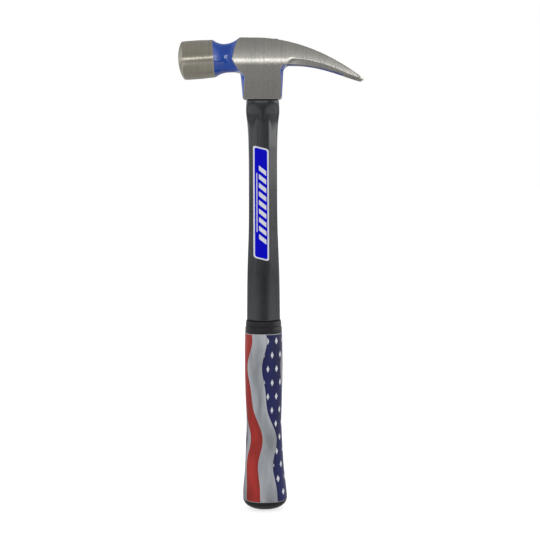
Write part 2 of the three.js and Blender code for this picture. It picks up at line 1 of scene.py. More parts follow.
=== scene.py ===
"""Framing hammer: the finished look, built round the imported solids.

Sizes inside the functions are millimetres with heights measured from the butt. Every mesh is written in
metres in the part's own frame, whose origin lies in the middle of the hand's hold. The stage and the finishes
are in metres too.
"""
import math
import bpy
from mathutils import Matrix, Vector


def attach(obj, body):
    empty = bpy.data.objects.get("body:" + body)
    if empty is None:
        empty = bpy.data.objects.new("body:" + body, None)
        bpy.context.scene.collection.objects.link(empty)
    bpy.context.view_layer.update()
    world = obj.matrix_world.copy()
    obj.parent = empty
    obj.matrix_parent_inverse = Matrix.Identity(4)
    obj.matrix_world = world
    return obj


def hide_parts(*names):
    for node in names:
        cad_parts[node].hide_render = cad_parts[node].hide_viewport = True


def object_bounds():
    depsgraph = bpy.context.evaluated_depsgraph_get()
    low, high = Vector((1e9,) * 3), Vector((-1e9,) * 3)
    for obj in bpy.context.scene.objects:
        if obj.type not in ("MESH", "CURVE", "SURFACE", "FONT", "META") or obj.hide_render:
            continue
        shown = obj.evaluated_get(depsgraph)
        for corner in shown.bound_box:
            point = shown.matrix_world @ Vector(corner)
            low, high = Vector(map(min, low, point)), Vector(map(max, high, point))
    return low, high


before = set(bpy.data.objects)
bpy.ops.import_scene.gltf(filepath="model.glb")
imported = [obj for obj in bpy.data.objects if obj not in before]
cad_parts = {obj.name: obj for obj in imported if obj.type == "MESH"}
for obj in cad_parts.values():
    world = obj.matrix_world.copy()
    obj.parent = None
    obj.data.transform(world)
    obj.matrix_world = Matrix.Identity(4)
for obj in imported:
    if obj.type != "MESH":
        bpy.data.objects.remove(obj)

from types import SimpleNamespace

import bpy
import numpy as np
from bpy.props import FloatProperty, FloatVectorProperty, PointerProperty

bl_info = {
    "name": "Framing Hammer",
    "version": (1, 0, 0),
    "blender": (4, 5, 0),
    "location": "3D View > Sidebar > Hammer",
    "description": "Builds the finished pieces of a framing hammer round its packed solids",
    "category": "Object",
}

CAD_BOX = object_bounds()
BODY = "root"
MM = 0.001

# Shapes that stay as they are when the sizes below change; pairs run from low to high
NECK_SQUARENESS = 2.7
NECK_SQUARING = 3.3
NECK_OVERRUN = 6.0
POINT_SLOPE_ABOVE = 0.38
POINT_SLOPE_BELOW = 0.55
SKIRT_FRONT_ROUNDNESS = (0.14, 0.41)
SKIRT_BACK_ROUNDNESS = (0.14, 0.3)
SKIRT_PROUD_FRONT = 0.9
SKIRT_PROUD_BACK = 0.4
SKIRT_FRONT_FLARE = 0.7
SKIRT_SIDE_SHARE = 1.28
EYE_SQUARENESS = 3.0
EYE_COLUMNS = 120
SHOULDER_RUN = 28.0
SHOULDER_RISE = 12.0
SHOULDER_DEPTH = (0.925, 0.99)
SHOULDER_SQUARENESS = (1.8, 2.8)
SHOULDER_CREASE = 90.0
JACKET_COLUMNS = 192
GRIP_SQUARENESS = 2.4
GRIP_COLUMNS = 168
FILM_ROWS = 240
LABEL_ROWS = 220
LABEL_COLUMNS = 48
FIT_GAP = 0.3

# Fewest faces of a piece whose modifiers have worked
LEAST_FACES = 1000

# Span that noise keeps to, stretch of the grinding marks along X, Y and Z, and the sleeve's navy ribbon
NOISE_SPAN = (0.3, 0.7)
FINE_GRIND = (1500.0, 40.0, 40.0)
BROAD_GRIND = (420.0, 18.0, 18.0)
NAVY_BAND = (0.53, 0.9)

# Soft panels: name, place, width, height, radiance and whether mirror finishes show it, then the floor
LAMPS = (
    ("key_panel", (-0.25, -1.5, 1.35), 1.1, 0.7, 1.6, False),
    ("front_strip", (-0.2, -1.25, 0.43), 0.95, 0.1, 5.6, True),
    ("right_panel", (1.5, -0.25, 0.47), 0.9, 0.64, 2.1, True),
    ("left_panel", (-1.5, -0.45, 0.25), 0.5, 1.3, 1.4, False),
    ("rear_panel", (0.25, 1.5, 1.35), 1.1, 0.7, 1.6, False),
    ("rear_right_panel", (1.5, 0.55, 0.25), 0.5, 1.3, 1.4, False),
    ("rear_left_panel", (-1.5, 0.55, 0.25), 0.5, 1.3, 1.8, False),
    ("rear_strip", (0.15, 1.25, 0.43), 0.9, 0.1, 3.0, True),
)
FLOOR_REACH = 6.0


def srgb(red, green, blue):
    """A colour of 0 to 255 as linear RGBA."""
    parts = []
    for value in (red, green, blue):
        share = value / 255
        parts.append(share / 12.92 if share <= 0.04045 else ((share + 0.055) / 1.055) ** 2.4)
    return (*parts, 1.0)


def length(label, millimetres, description):
    size = millimetres * MM
    return FloatProperty(
        name=label, description=description, default=size, unit="LENGTH", subtype="DISTANCE", precision=5
    )


def angle(label, degrees, description):
    return FloatProperty(
        name=label, description=description, default=math.radians(degrees), unit="ROTATION", subtype="ANGLE"
    )


def ratio(label, value, description):
    return FloatProperty(name=label, description=description, default=value, min=0.0, precision=3)


def colour(label, value, description):
    return FloatVectorProperty(
        name=label, description=description, default=value, size=4, min=0.0, max=1.0, subtype="COLOR"
    )


class HammerHeadSizes(bpy.types.PropertyGroup):
    """Sizes of the forged head."""

    overall_length: length("Overall length", 392, "From the butt to the top of the head")
    hand_height: length("Hand height", 80, "Height of the part's origin above the butt")
    head_height: length("Head height", 49, "From the skirt's rim to the top of the head")
    face_reach: length("Face reach", 68, "From the handle's axis to the striking face")
    bell_diameter: length("Bell diameter", 31, "Across the bell")
    bell_length: length("Bell length", 28.8, "From the face to the bell's rear edge")
    bell_tilt: angle("Bell tilt", 3.8, "Drop of the bell's axis towards the face")
    bell_axis_drop: length("Bell axis drop", 13.4, "From the top down to the bell's axis, over the handle")
    bell_rear_taper: length("Bell rear taper", 0.5, "Loss of radius at the bell's rear edge")
    land_radius: length("Land radius", 4.4, "Flat land in the middle of the face")
    crown_radius: length("Crown radius", 35, "Radius of the crowned face")
    bevel_width: length("Bevel width", 3.5, "Width of the rim's bevel across the face")
    bevel_depth: length("Bevel depth", 2.2, "Depth of the rim's bevel along the bell")
    neck_waist_share: ratio("Neck waist share", 0.45, "Place of the waist along the neck")
    neck_rise: length("Neck rise", 11, "Height of the neck's waist above the bell's axis")
    neck_fall: length("Neck fall", 11.9, "Depth of the neck's waist below the bell's axis")
    neck_half_width: length("Neck half width", 10.6, "Half width of the neck's waist")
    cheek_front: length("Cheek front", 17.4, "Reach of the cheeks towards the bell at the top")
    cheek_point: length("Cheek point", 24.7, "Reach of the cheeks towards the bell at the ridge")
    cheek_width: length("Cheek width", 26.6, "Across the cheeks at the ridge")
    ridge_drop: length("Ridge drop", 17.4, "From the head's top down to the ridge")
    upper_lean: angle("Upper lean", 6, "Lean of the upper cheek facets")
    lower_lean: angle("Lower lean", 4.2, "Lean of the lower cheek facets")
    skirt_length: length("Skirt length", 30.4, "Front to back over the skirt's rim")
    skirt_flare: length("Skirt flare", 2.9, "Growth of the skirt over the head's height")
    rim_chamfer: length("Rim chamfer", 1, "Chamfer round the skirt's rim")
    claw_reach: length("Claw reach", 81.2, "From the handle's axis to the claw's tips")
    claw_drop: length("Claw drop", 33.2, "From the head's top down to the claw's tips")
    claw_root_depth: length("Claw root depth", 21.6, "Depth of the claw at its root")
    claw_tip_thickness: length("Claw tip thickness", 1.2, "Thickness of the claw's tips")
    claw_tip_width: length("Claw tip width", 33, "Across both tips")
    claw_corner: length("Claw corner", 5, "Radius of the tips' outer corners")
    claw_fillet: length("Claw fillet", 5.8, "Fillet between skirt and claw")
    claw_bevel_lean: angle("Claw bevel lean", 30, "Lean of the bevel under the claw's ridge")
    slot_length: length("Slot length", 48, "Length of the nail slot")
    slot_root: length("Slot root", 2.5, "Width of the nail slot at its root")
    slot_mouth: length("Slot mouth", 9.2, "Width of the nail slot at the tips")
    slot_bevel: length("Slot bevel", 1.2, "Extra half width of the slot on the claw's back")
    eye_wall: length("Eye wall", 3.2, "Wall round the eye at the skirt's rim")
    eye_pinch: length("Eye pinch", 0.9, "Narrowing in the middle of the eye")
    eye_flare: length("Eye flare", 1, "Widening of the eye at the top")
    mesh_step: length("Mesh step", 0.38, "Edge length of the head's mesh")


class HammerHandleSizes(bpy.types.PropertyGroup):
    """Sizes of the jacket, grip, film and label."""

    shoulder_half: length("Shoulder half", 13.6, "Half depth of the jacket's shoulder")
    shoulder_drop: length("Shoulder drop", 9.9, "From the jacket's top down to the shoulder's widest place")
    waist_half: length("Waist half", 11.55, "Half depth of the jacket's waist")
    seat_half: length("Seat half", 13.9, "Half depth of the jacket where the grip starts")
    seat_step: length("Seat step", 2.3, "Step from the jacket down to its tail in the grip")
    jacket_slender: ratio("Jacket slenderness", 0.77, "Jacket's width as a share of its depth")
    jacket_facet: ratio("Jacket facet", 1.37, "Reach of the corner facets, from 1 to 2")
    jacket_squareness: ratio("Jacket squareness", 2.6, "Squareness of the jacket's body")
    jacket_crease: ratio("Jacket crease", 60.0, "Crispness of the corner facets' edges")
    grip_length: length("Grip length", 161.6, "From the butt to the collar's top")
    collar_height: length("Collar height", 10.2, "Height of the collar above the film")
    collar_lip: length("Collar lip", 0.65, "Collar's lip over the jacket")
    collar_groove: length("Collar groove", 0.45, "Depth of the groove round the collar")
    belly_half: length("Belly half", 15.85, "Half depth of the grip's upper swell")
    grip_waist_half: length("Grip waist half", 14.65, "Half depth of the grip's waist")
    butt_half: length("Butt half", 18.6, "Half depth of the butt")
    butt_dome: length("Butt dome", 10, "Height of the domed end")
    butt_offset: length("Butt offset", 0.6, "Forward shift of the butt")
    butt_wall: length("Butt wall", 13, "Thickness of rubber under the handle's end")
    grip_slender: ratio("Grip slenderness", 0.82, "Grip's width as a share of its depth")
    film_thickness: length("Film thickness", 0.4, "Thickness of the printed sleeve")
    film_bottom: length("Film bottom", 9.2, "Height of the sleeve's lower edge")
    label_length: length("Label length", 91.4, "Length of the label")
    label_width: length("Label width", 12.8, "Width of the label")
    label_top_drop: length("Label top drop", 86, "From the head's top down to the label")
    label_shift: length("Label shift", -1.6, "Shift of the label across the handle")
    label_slant: length("Label slant", 3.2, "Fall of the label's ends across its width")
    label_border: length("Label border", 1.25, "White border of the label")


class HammerColours(bpy.types.PropertyGroup):
    """Colours of the finishes."""

    steel: colour("Steel", (0.47, 0.455, 0.42, 1), "Ground and polished steel")
    steel_dark: colour("Steel streaks", (0.36, 0.35, 0.32, 1), "Darker grinding streaks")
    bell_tint: colour("Bell tint", (0.95, 0.92, 0.84, 1), "Warmer tone of the turned bell")
    enamel: colour("Enamel", srgb(36, 86, 188), "Blue enamel on neck and skirt")
    enamel_deep: colour("Enamel in hollows", srgb(28, 66, 154), "Where the enamel lies thicker")
    enamel_speck: colour("Enamel specks", (0.35, 0.42, 0.62, 1), "Pale dust in the enamel")
    epoxy: colour("Epoxy", srgb(40, 40, 42), "Filling of the eye")
    epoxy_pale: colour("Epoxy swirls", srgb(58, 57, 56), "Paler swirls in the filling")
    fibreglass: colour("Fibreglass", srgb(196, 184, 138), "Core rod")
    fibreglass_dark: colour("Fibreglass strands", srgb(150, 136, 92), "Darker strands of the core rod")
    jacket: colour("Jacket", srgb(49, 52, 56), "Moulded jacket")
    jacket_dark: colour("Jacket streaks", srgb(37, 39, 43), "Darker streaks of the jacket")
    rubber: colour("Rubber", srgb(22, 22, 26), "Grip, collar and butt")
    rubber_pale: colour("Rubber bloom", srgb(32, 32, 36), "Paler clouds on the rubber")
    film_red: colour("Film red", srgb(172, 48, 41), "Red ribbons of the sleeve")
    film_silver: colour("Film silver", srgb(186, 190, 196), "Silver ribbons of the sleeve")
    film_navy: colour("Film navy", srgb(23, 28, 86), "Navy ribbons of the sleeve")
    film_light: colour("Film light", srgb(226, 228, 232), "Small lozenges of the sleeve")
    film_dots: colour("Film dots", (0.5, 0.5, 0.52, 1), "Fine dots of the print")
    # Light band at the sleeve's ends: a painted highlight on the film's cut edges
    film_edge: colour("Film edge", srgb(176, 178, 182), "Bare edges of the sleeve")
    label_blue: colour("Label blue", (0.001, 0.0015, 0.66, 1), "Field of the label")
    label_blue_deep: colour("Label blue, deep", (0.001, 0.0012, 0.58, 1), "Deeper clouds in the field")
    label_white: colour("Label white", srgb(232, 233, 244), "Border and bars of the label")


class HammerStage(bpy.types.PropertyGroup):
    """Camera, light and floor."""

    camera_across: length("Camera across", 5.5, "Camera's place along X")
    camera_distance: length("Camera distance", 953, "From the handle's axis to the camera")
    camera_height: length("Camera height", 231.8, "Camera's height in the part's frame")
    camera_pitch: angle("Camera pitch", 6.5, "Downward tilt of the view")
    camera_roll: angle("Camera roll", 0.21, "Turn of the picture")
    lens: ratio("Focal length", 77.2, "Focal length in millimetres on a 36 mm sensor")
    ambient: ratio("Ambient light", 0.55, "Level of the even light from all sides")


def in_millimetres(group):
    """A group's numbers with its lengths in millimetres."""
    sizes = SimpleNamespace()
    for prop in group.bl_rna.properties:
        if prop.type == "FLOAT" and not prop.is_array:
            value = getattr(group, prop.identifier)
            setattr(sizes, prop.identifier, value / MM if prop.unit == "LENGTH" else value)
    return sizes


def head_sizes():
    s = in_millimetres(bpy.context.scene.hammer_head)
    s.top = s.overall_length
    s.skirt_rim = s.top - s.head_height
    s.ridge = s.top - s.ridge_drop
    s.cheek_half = s.cheek_width / 2
    s.bell_radius = s.bell_diameter / 2
    s.bell_rear = s.bell_radius - s.bell_rear_taper
    s.neck_length = s.face_reach - s.bell_length - s.cheek_front
    s.claw_under = s.top - s.claw_root_depth
    s.claw_tip = s.top - s.claw_drop
    s.claw_root = s.skirt_length / 2 + s.claw_fillet
    s.face_height = s.top - s.bell_axis_drop - s.face_reach * math.tan(s.bell_tilt)
    return s


def handle_sizes():
    s = in_millimetres(bpy.context.scene.hammer_handle)
    h = head_sizes()
    s.top = h.top
    s.hand_height = h.hand_height
    s.jacket_top = h.skirt_rim - FIT_GAP
    s.shoulder = s.jacket_top - s.shoulder_drop
    s.collar_foot = s.grip_length - s.collar_height
    s.film_seat = s.film_thickness + FIT_GAP
    return s


# Numbers along lines and curves


def blend(low, high, share):
    return low + (high - low) * share


def smoothstep(value, start, end):
    share = np.clip((value - start) / (end - start), 0.0, 1.0)
    return share * share * (3.0 - 2.0 * share)


def soft_max(a, b, width):
    """The larger of two fields, rounded over the given width where they meet."""
    near = np.maximum(width - np.abs(a - b), 0.0) / width
    return np.maximum(a, b) + near * near * width / 4.0


def soft_min(a, b, width):
    return -soft_max(-a, -b, width)


def cubic_height(points):
    """Height and slope along a cubic curve in the side view, as functions of reach."""
    share = np.linspace(0.0, 1.0, 2001)[:, None]
    p = np.array(points, float)
    line = (
        (1 - share) ** 3 * p[0]
        + 3 * (1 - share) ** 2 * share * p[1]
        + 3 * (1 - share) * share**2 * p[2]
        + share**3 * p[3]
    )
    reaches, heights = line.T
    slopes = np.gradient(heights, reaches)
    height = lambda reach: np.interp(reach, reaches, heights)
    slope = lambda reach: np.interp(reach, reaches, slopes)
    return height, slope


def smooth_line(pairs):
    """A centripetal curve through pairs of height and value, as a function of height."""
    p = np.array(pairs, float)
    p = np.vstack([2 * p[0] - p[1], p, 2 * p[-1] - p[-2]])
    share = np.linspace(0.0, 1.0, 60)[:, None]
    runs = []
    for a, b, c, d in zip(p, p[1:], p[2:], p[3:]):
        t0, t1, t2 = (max(np.linalg.norm(v), 1e-4) ** 0.5 for v in (b - a, c - b, d - c))
        start = ((b - a) / t0 - (c - a) / (t0 + t1) + (c - b) / t1) * t1
        end = ((c - b) / t1 - (d - b) / (t1 + t2) + (d - c) / t2) * t1
        runs.append(
            b
            + start * share
            + (-3 * b + 3 * c - 2 * start - end) * share**2
            + (2 * b - 2 * c + start + end) * share**3
        )
    line = np.vstack(runs)
    return lambda height: np.interp(height, line[:, 0], line[:, 1])


# Meshes


def to_part_frame(points, hand_height):
    moved = np.array(points, float)
    moved[:, 2] -= hand_height
    return moved * MM


def make_piece(name, points, faces, hand_height):
    """A smooth mesh object from points in millimetres above the butt."""
    mesh = bpy.data.meshes.new(name)
    mesh.from_pydata(to_part_frame(points, hand_height).tolist(), [], [list(face) for face in faces])
    mesh.validate()
    mesh.shade_smooth()
    piece = bpy.data.objects.new(name, mesh)
    bpy.context.scene.collection.objects.link(piece)
    return piece


def ring_faces(rows, columns, base=0):
    """Quads between closed rings that turn counter-clockwise as they climb."""
    row = np.arange(rows - 1)[:, None]
    here = np.arange(columns)[None, :]
    after = (here + 1) % columns
    a = base + row * columns + here
    b = base + row * columns + after
    return np.stack([a, b, b + columns, a + columns], -1).reshape(-1, 4).tolist()


def capped_rings(rings):
    """A closed skin over rings of equal count."""
    columns = len(rings[0])
    points = np.vstack(rings)
    faces = ring_faces(len(rings), columns)
    last = (len(rings) - 1) * columns
    foot = len(points)
    points = np.vstack([points, rings[0].mean(0), rings[-1].mean(0)])
    for step in range(columns):
        after = (step + 1) % columns
        faces.append([foot, after, step])
        faces.append([foot + 1, last + step, last + after])
    return points, faces


def superellipse(right, up, squareness, columns):
    turn = np.linspace(0.0, 2 * math.pi, columns, endpoint=False)
    power = 2.0 / squareness
    across = np.sign(np.cos(turn)) * np.abs(np.cos(turn)) ** power * right
    along = np.sign(np.sin(turn)) * np.abs(np.sin(turn)) ** power * up
    return across, along


def ring_at(across, along, height):
    return np.stack([across, along, np.full_like(across, height)], -1)


def mesh_points(mesh):
    flat = np.empty(len(mesh.vertices) * 3)
    mesh.vertices.foreach_get("co", flat)
    return flat.reshape(-1, 3)


def mesh_edges(mesh):
    flat = np.empty(len(mesh.edges) * 2, int)
    mesh.edges.foreach_get("vertices", flat)
    return flat.reshape(-1, 2)


def make_real(piece):
    """Makes the piece's modifiers part of its mesh."""
    graph = bpy.context.evaluated_depsgraph_get()
    made = bpy.data.meshes.new_from_object(piece.evaluated_get(graph))
    piece.modifiers.clear()
    piece.data = made
    if len(made.polygons) < LEAST_FACES:
        raise RuntimeError(f"{piece.name} has too few faces")


def finish_piece(piece, node, material):
    piece.data.materials.clear()
    piece.data.materials.append(material)
    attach(piece, BODY)
    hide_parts(node)


# The head's form: fields that are below zero inside the steel


class HeadForm:
    """The forged head as a blend of its bell, neck, cheeks, skirt and claw, less its eye and nail slot."""

    # Widths over which two forms round into each other
    EDGE = 0.55
    RIDGE = 0.4
    BEVEL_KNEE = 1.0
    FACE_RIM = 0.9
    BELL_REAR = 0.25
    NECK_BLEND = 1.6
    SKIRT_BLEND = 1.2
    BELL_BLEND = 0.2
    EYE_ROUND = 0.7
    SLOT_ROUND = 0.45
    # Reach of the bared steel beyond the ground faces: at the skirt's rim, in the eye and under the claw
    RIM_BARE = 1.4
    EYE_BARE = 0.9
    EYE_TOP_BARE = 4.5
    CLAW_BARE = 0.6
    # Step for the field's slope, and the bend in degrees below which the mesh is thinned
    STEP = 0.03
    PLAIN_BEND = 3.0

    def __init__(self, sizes):
        s = self.s = sizes
        span = s.claw_reach - s.claw_root
        self.back, self.back_slope = cubic_height(
            [
                (-8, s.top),
                (s.claw_root + 0.31 * span, s.top),
                (s.claw_reach - 8, s.claw_tip + 0.17 * s.claw_drop),
                (s.claw_reach, s.claw_tip),
            ]
        )
        self.belly, self.belly_slope = cubic_height(
            [
                (s.claw_root - 2, s.claw_under),
                (s.claw_root + 0.4 * span, s.claw_under + 1),
                (s.claw_reach - 19.5, s.claw_tip + 4.2),
                (s.claw_reach - 0.4, s.claw_tip - s.claw_tip_thickness),
            ]
        )
        self.claw_ridge, _ = cubic_height(
            [
                (s.claw_root - 2, s.ridge),
                (s.claw_root + 0.45 * span, s.ridge + 0.6),
                (s.claw_reach - 19, s.claw_tip + 5),
                (s.claw_reach, s.claw_tip - 0.6 * s.claw_tip_thickness),
            ]
        )

    def bell_place(self, p):
        """Across, up and depth behind the face, along the tilted axis."""
        s = self.s
        cos, sin = math.cos(s.bell_tilt), math.sin(s.bell_tilt)
        x, z = p[:, 0] + s.face_reach, p[:, 2] - s.face_height
        return p[:, 1], z * cos - x * sin, x * cos + z * sin

    def face_depth(self, radius):
        """Depth of the crowned and bevelled face at a radius."""
        s = self.s
        edge = s.bell_radius - s.bevel_width
        sag = lambda r: s.crown_radius - np.sqrt(s.crown_radius**2 - r**2)
        rim = sag(edge) - sag(s.land_radius)
        crown = np.linspace(s.land_radius, edge, 12)
        bevel = ((0.35, 0.5), (0.06, 0.9), (0.0, 1.4))
        radii = [0.0, *crown, *(s.bell_radius - inward * s.bevel_width for inward, _ in bevel)]
        depths = [0.0, *(sag(crown) - sag(s.land_radius)), *(rim + back * s.bevel_depth for _, back in bevel)]
        return np.interp(radius, radii, depths)

    def bell(self, p):
        s = self.s
        across, up, depth = self.bell_place(p)
        radius = np.hypot(across, up)
        side = np.interp(depth, [0.6 * s.bell_length, s.bell_length], [s.bell_radius, s.bell_rear])
        front = (self.face_depth(np.minimum(radius, s.bell_radius)) - depth) * 0.8
        return soft_max(soft_max(radius - side, front, self.FACE_RIM), depth - s.bell_length, self.BELL_REAR)

    def neck(self, p):
        s = self.s
        across, up, depth = self.bell_place(p)
        distance = depth - s.bell_length
        waist = s.neck_waist_share * s.neck_length
        point = s.face_reach - s.bell_length - s.cheek_point - waist
        axis_drop = s.bell_axis_drop + s.cheek_front * math.tan(s.bell_tilt)
        to_bell = np.clip((waist - distance) / waist, 0.0, 1.0)
        to_cheek = np.maximum(0.0, distance - waist)
        share = to_cheek / (s.neck_length - waist)
        opened = lambda least, reached, part, power=2: least + (reached - least) * part**power
        right = opened(s.neck_half_width, s.bell_rear, to_bell)
        above = p[:, 2] - s.ridge
        delay = np.where(above > 0, POINT_SLOPE_ABOVE * above, -POINT_SLOPE_BELOW * above)
        spread = (s.cheek_half - s.neck_half_width) * (np.maximum(0.0, to_cheek - delay) / point) ** 2
        rise = np.maximum(opened(s.neck_rise, s.bell_rear, to_bell), opened(s.neck_rise, axis_drop, share))
        fall = np.maximum(opened(s.neck_fall, s.bell_rear, to_bell), opened(s.neck_fall, axis_drop, share, 4))
        power = blend(NECK_SQUARENESS, 2.0, to_bell) + NECK_SQUARING * np.minimum(share, 1.2) ** 2
        across = np.maximum(np.abs(across) - spread, 0.0)
        shell = oval(across, up, right, np.where(up > 0, rise, fall), power)
        ends = np.maximum(-0.3 - distance, distance - s.neck_length - NECK_OVERRUN)
        return np.maximum(shell, ends)

    def skirt(self, p):
        s = self.s
        x, y, z = p.T
        foot = s.claw_under - s.claw_fillet
        inset = np.clip(s.rim_chamfer - (z - s.skirt_rim), 0.0, s.rim_chamfer)
        turn = np.clip((z - foot) / s.claw_fillet, 0.0, 1.0)
        flare = s.claw_fillet * (1 - np.sqrt(1 - turn**2))
        taper = s.skirt_flare * (z - s.skirt_rim) / s.head_height
        proud = np.where(x > 0, SKIRT_PROUD_BACK, SKIRT_PROUD_FRONT)
        half = s.skirt_length / 2 + proud + taper - inset
        rise = np.clip((z - s.skirt_rim) / (s.claw_under - s.skirt_rim), 0.0, 1.0)
        reach = np.where(x > 0, half + flare, half + 0.3 * taper + SKIRT_FRONT_FLARE * rise**2)
        side = SKIRT_SIDE_SHARE * self.lower_half(z) - inset
        roundness = np.where(x > 0, blend(*SKIRT_BACK_ROUNDNESS, rise), blend(*SKIRT_FRONT_ROUNDNESS, rise))
        shell = oval(x, y, reach, side, 1 / roundness)
        return np.maximum(shell, np.maximum(s.skirt_rim - z, z - s.claw_under - 2))

    def lower_half(self, height):
        s = self.s
        return s.cheek_half - (s.ridge - height) * math.tan(s.lower_lean)

    def top_face(self, p):
        """The ground back of head and claw."""
        x, _, z = p.T
        return (z - self.back(x)) / np.sqrt(1 + self.back_slope(x) ** 2)

    def profile(self, p):
        s = self.s
        x, _, z = p.T
        under = np.where(x < s.claw_root - 2, s.claw_under, self.belly(x))
        under = (under - z) / np.sqrt(1 + np.where(x < s.claw_root - 2, 0.0, self.belly_slope(x)) ** 2)
        ends = np.maximum(x - s.claw_reach, -0.8 * s.cheek_front - x)
        return soft_max(np.maximum(self.top_face(p), ends), under, self.EDGE)

    def claw_half(self, reach):
        s = self.s
        share = np.maximum(0.0, (reach - s.claw_root) / (s.claw_reach - s.claw_root))
        half = s.cheek_half + (s.claw_tip_width / 2 - s.cheek_half) * share**2
        corner = np.clip(reach - (s.claw_reach - s.claw_corner), 0.0, s.claw_corner)
        return half - s.claw_corner + np.sqrt(s.claw_corner**2 - corner**2)

    def ground(self, p):
        """The two ground facets on each side, which meet in the ridge."""
        s = self.s
        x, y, z = p.T
        cheek_end = s.claw_root - 2
        turn = smoothstep(x, cheek_end, cheek_end + 3 * s.claw_fillet)
        lean = blend(s.lower_lean, s.claw_bevel_lean, turn)
        ridge = np.where(x < cheek_end, s.ridge, self.claw_ridge(x))
        half = np.where(x < cheek_end, s.cheek_half, self.claw_half(x))
        knee = 2 * s.claw_fillet
        above = np.clip(z - ridge, -knee, s.ridge_drop)
        crown = above * math.tan(s.upper_lean) * blend(0.6, 1.0, np.maximum(above, 0.0) / s.ridge_drop)
        upper = (np.abs(y) - half + crown) * math.cos(s.upper_lean)
        bevel = (np.abs(y) - half + (ridge - z) * np.tan(lean)) * np.cos(lean)
        rest = np.abs(y) - half + knee * np.tan(lean) + (ridge - knee - z) * math.tan(s.lower_lean)
        lower = soft_min(bevel, rest * math.cos(s.lower_lean), self.BEVEL_KNEE)
        sides = soft_max(upper, lower, self.RIDGE)
        waist_reach = s.cheek_front + (1 - s.neck_waist_share) * s.neck_length
        return np.where(x < -waist_reach, -s.bell_radius, sides)

    def eye(self, p):
        x, y, z = p.T
        return oval(x, y, *self.eye_half(z), EYE_SQUARENESS)

    def eye_half(self, height):
        s = self.s
        share = np.clip((height - s.skirt_rim) / s.head_height, 0.0, 1.0)
        change = s.eye_flare * share**2 - s.eye_pinch * np.sin(math.pi * share)
        return s.skirt_length / 2 - s.eye_wall + change, self.lower_half(s.skirt_rim) - s.eye_wall + change

    def slot(self, p):
        s = self.s
        x, y, z = p.T
        root = s.slot_root / 2
        start = s.claw_reach - s.slot_length
        inside = np.clip(x - start, 0.0, root)
        rounded = np.sqrt(root**2 - (root - inside) ** 2)
        half = rounded + (s.slot_mouth - s.slot_root) / 2 * (x - start) / s.slot_length
        within = np.minimum(x, s.claw_reach - 0.5)
        under = self.belly(within) - s.claw_tip_thickness
        over = self.back(within) + s.claw_tip_thickness
        half = half + s.slot_bevel * inside / root * np.clip((z - under) / (over - under), 0.0, 1.0)
        return np.maximum(np.abs(y) - half, start - x)

    def steel(self, p):
        """The whole head."""
        body = soft_min(self.profile(p), self.neck(p), self.NECK_BLEND)
        body = soft_min(body, self.skirt(p), self.SKIRT_BLEND)
        body = soft_max(body, p[:, 2] - self.s.top, self.EDGE)
        body = soft_max(body, self.ground(p), self.EDGE)
        body = soft_min(body, self.bell(p), self.BELL_BLEND)
        body = soft_max(body, -self.eye(p), self.EYE_ROUND)
        return soft_max(body, -self.slot(p), self.SLOT_ROUND)

    def slope(self, p):
        changes = [self.steel(p + step) - self.steel(p - step) for step in np.eye(3) * self.STEP]
        return np.stack(changes, -1) / (2 * self.STEP)

    def facing(self, p):
        slope = self.slope(p)
        return slope / np.maximum(np.linalg.norm(slope, axis=1, keepdims=True), 1e-9)

    def plain_places(self, points, edges):
        """Where the surface hardly bends and the finish stays the same."""
        facing = self.facing(points)
        a, b = edges.T
        bend = 1.0 - (facing[a] * facing[b]).sum(1)
        worst = np.zeros(len(points))
        np.maximum.at(worst, a, bend)
        np.maximum.at(worst, b, bend)
        bare = self.bareness(points)
        same_finish = (bare < -0.4) | (bare > 0.12)
        return (worst < 1.0 - math.cos(math.radians(self.PLAIN_BEND))) & same_finish

    def settle(self, points, rounds):
        """Points moved on to the head's surface."""
        for _ in range(rounds):
            value = self.steel(points)
            slope = self.slope(points)
            size = np.maximum((slope**2).sum(1), 0.15)
            step = -(value / size)[:, None] * slope
            reach = np.linalg.norm(step, axis=1, keepdims=True)
            points = points + step * np.minimum(1.0, 0.4 / np.maximum(reach, 1e-9))
        return points

    def bareness(self, p):
        """Above zero where grinding has bared the steel, below it where enamel is left."""
        s = self.s
        _, _, depth = self.bell_place(p)
        bare = np.maximum(self.ground(p), np.maximum(self.top_face(p), p[:, 2] - s.top))
        bare = bare + self.EDGE / 4
        bell = np.where(p[:, 0] < -s.cheek_point, s.bell_length - depth, -1.0)
        rim = np.where(self.ground(p) > -1.7, s.skirt_rim + self.RIM_BARE - p[:, 2], -1.0)
        eye_reach = np.where(p[:, 2] > s.top - 1.0, self.EYE_TOP_BARE, self.EYE_BARE)
        eye = np.where(p[:, 2] > s.top - 4.0, eye_reach - self.eye(p), -1.0)
        reach, height = p[:, 0], p[:, 2] - self.belly(p[:, 0])
        rounded = smoothstep(reach, s.claw_root, s.claw_root + 12.0) * smoothstep(height, 1.4, 0.6)
        under = self.ground(p) + self.EDGE / 4 + self.CLAW_BARE * rounded
        for field in (bell, rim, eye, under):
            bare = np.maximum(bare, field)
        return np.clip(bare, -1.0, 1.0)

    def wear(self, p):
        """From zero at the claw's root to one at its tips, where use has rubbed the enamel off."""
        s = self.s
        return smoothstep(p[:, 0], s.claw_reach - 0.55 * s.slot_length, s.claw_reach - 0.12 * s.slot_length)


def oval(x, y, right, up, squareness):
    """Distance along the ray from the middle to a squared oval, below zero inside it."""
    measure = (np.abs(x / right) ** squareness + np.abs(y / up) ** squareness) ** (1 / squareness)
    radius = np.hypot(x, y)
    return radius - radius / np.maximum(measure, 1e-6)


def relaxed(points, edges, share):
    """Points drawn towards the middle of their neighbours."""
    total = np.zeros_like(points)
    count = np.zeros(len(points))
    for a, b in ((edges[:, 0], edges[:, 1]), (edges[:, 1], edges[:, 0])):
        for axis in range(3):
            total[:, axis] += np.bincount(a, points[b, axis], len(points))
        count += np.bincount(a, minlength=len(points))
    return blend(points, total / np.maximum(count, 1)[:, None], share)


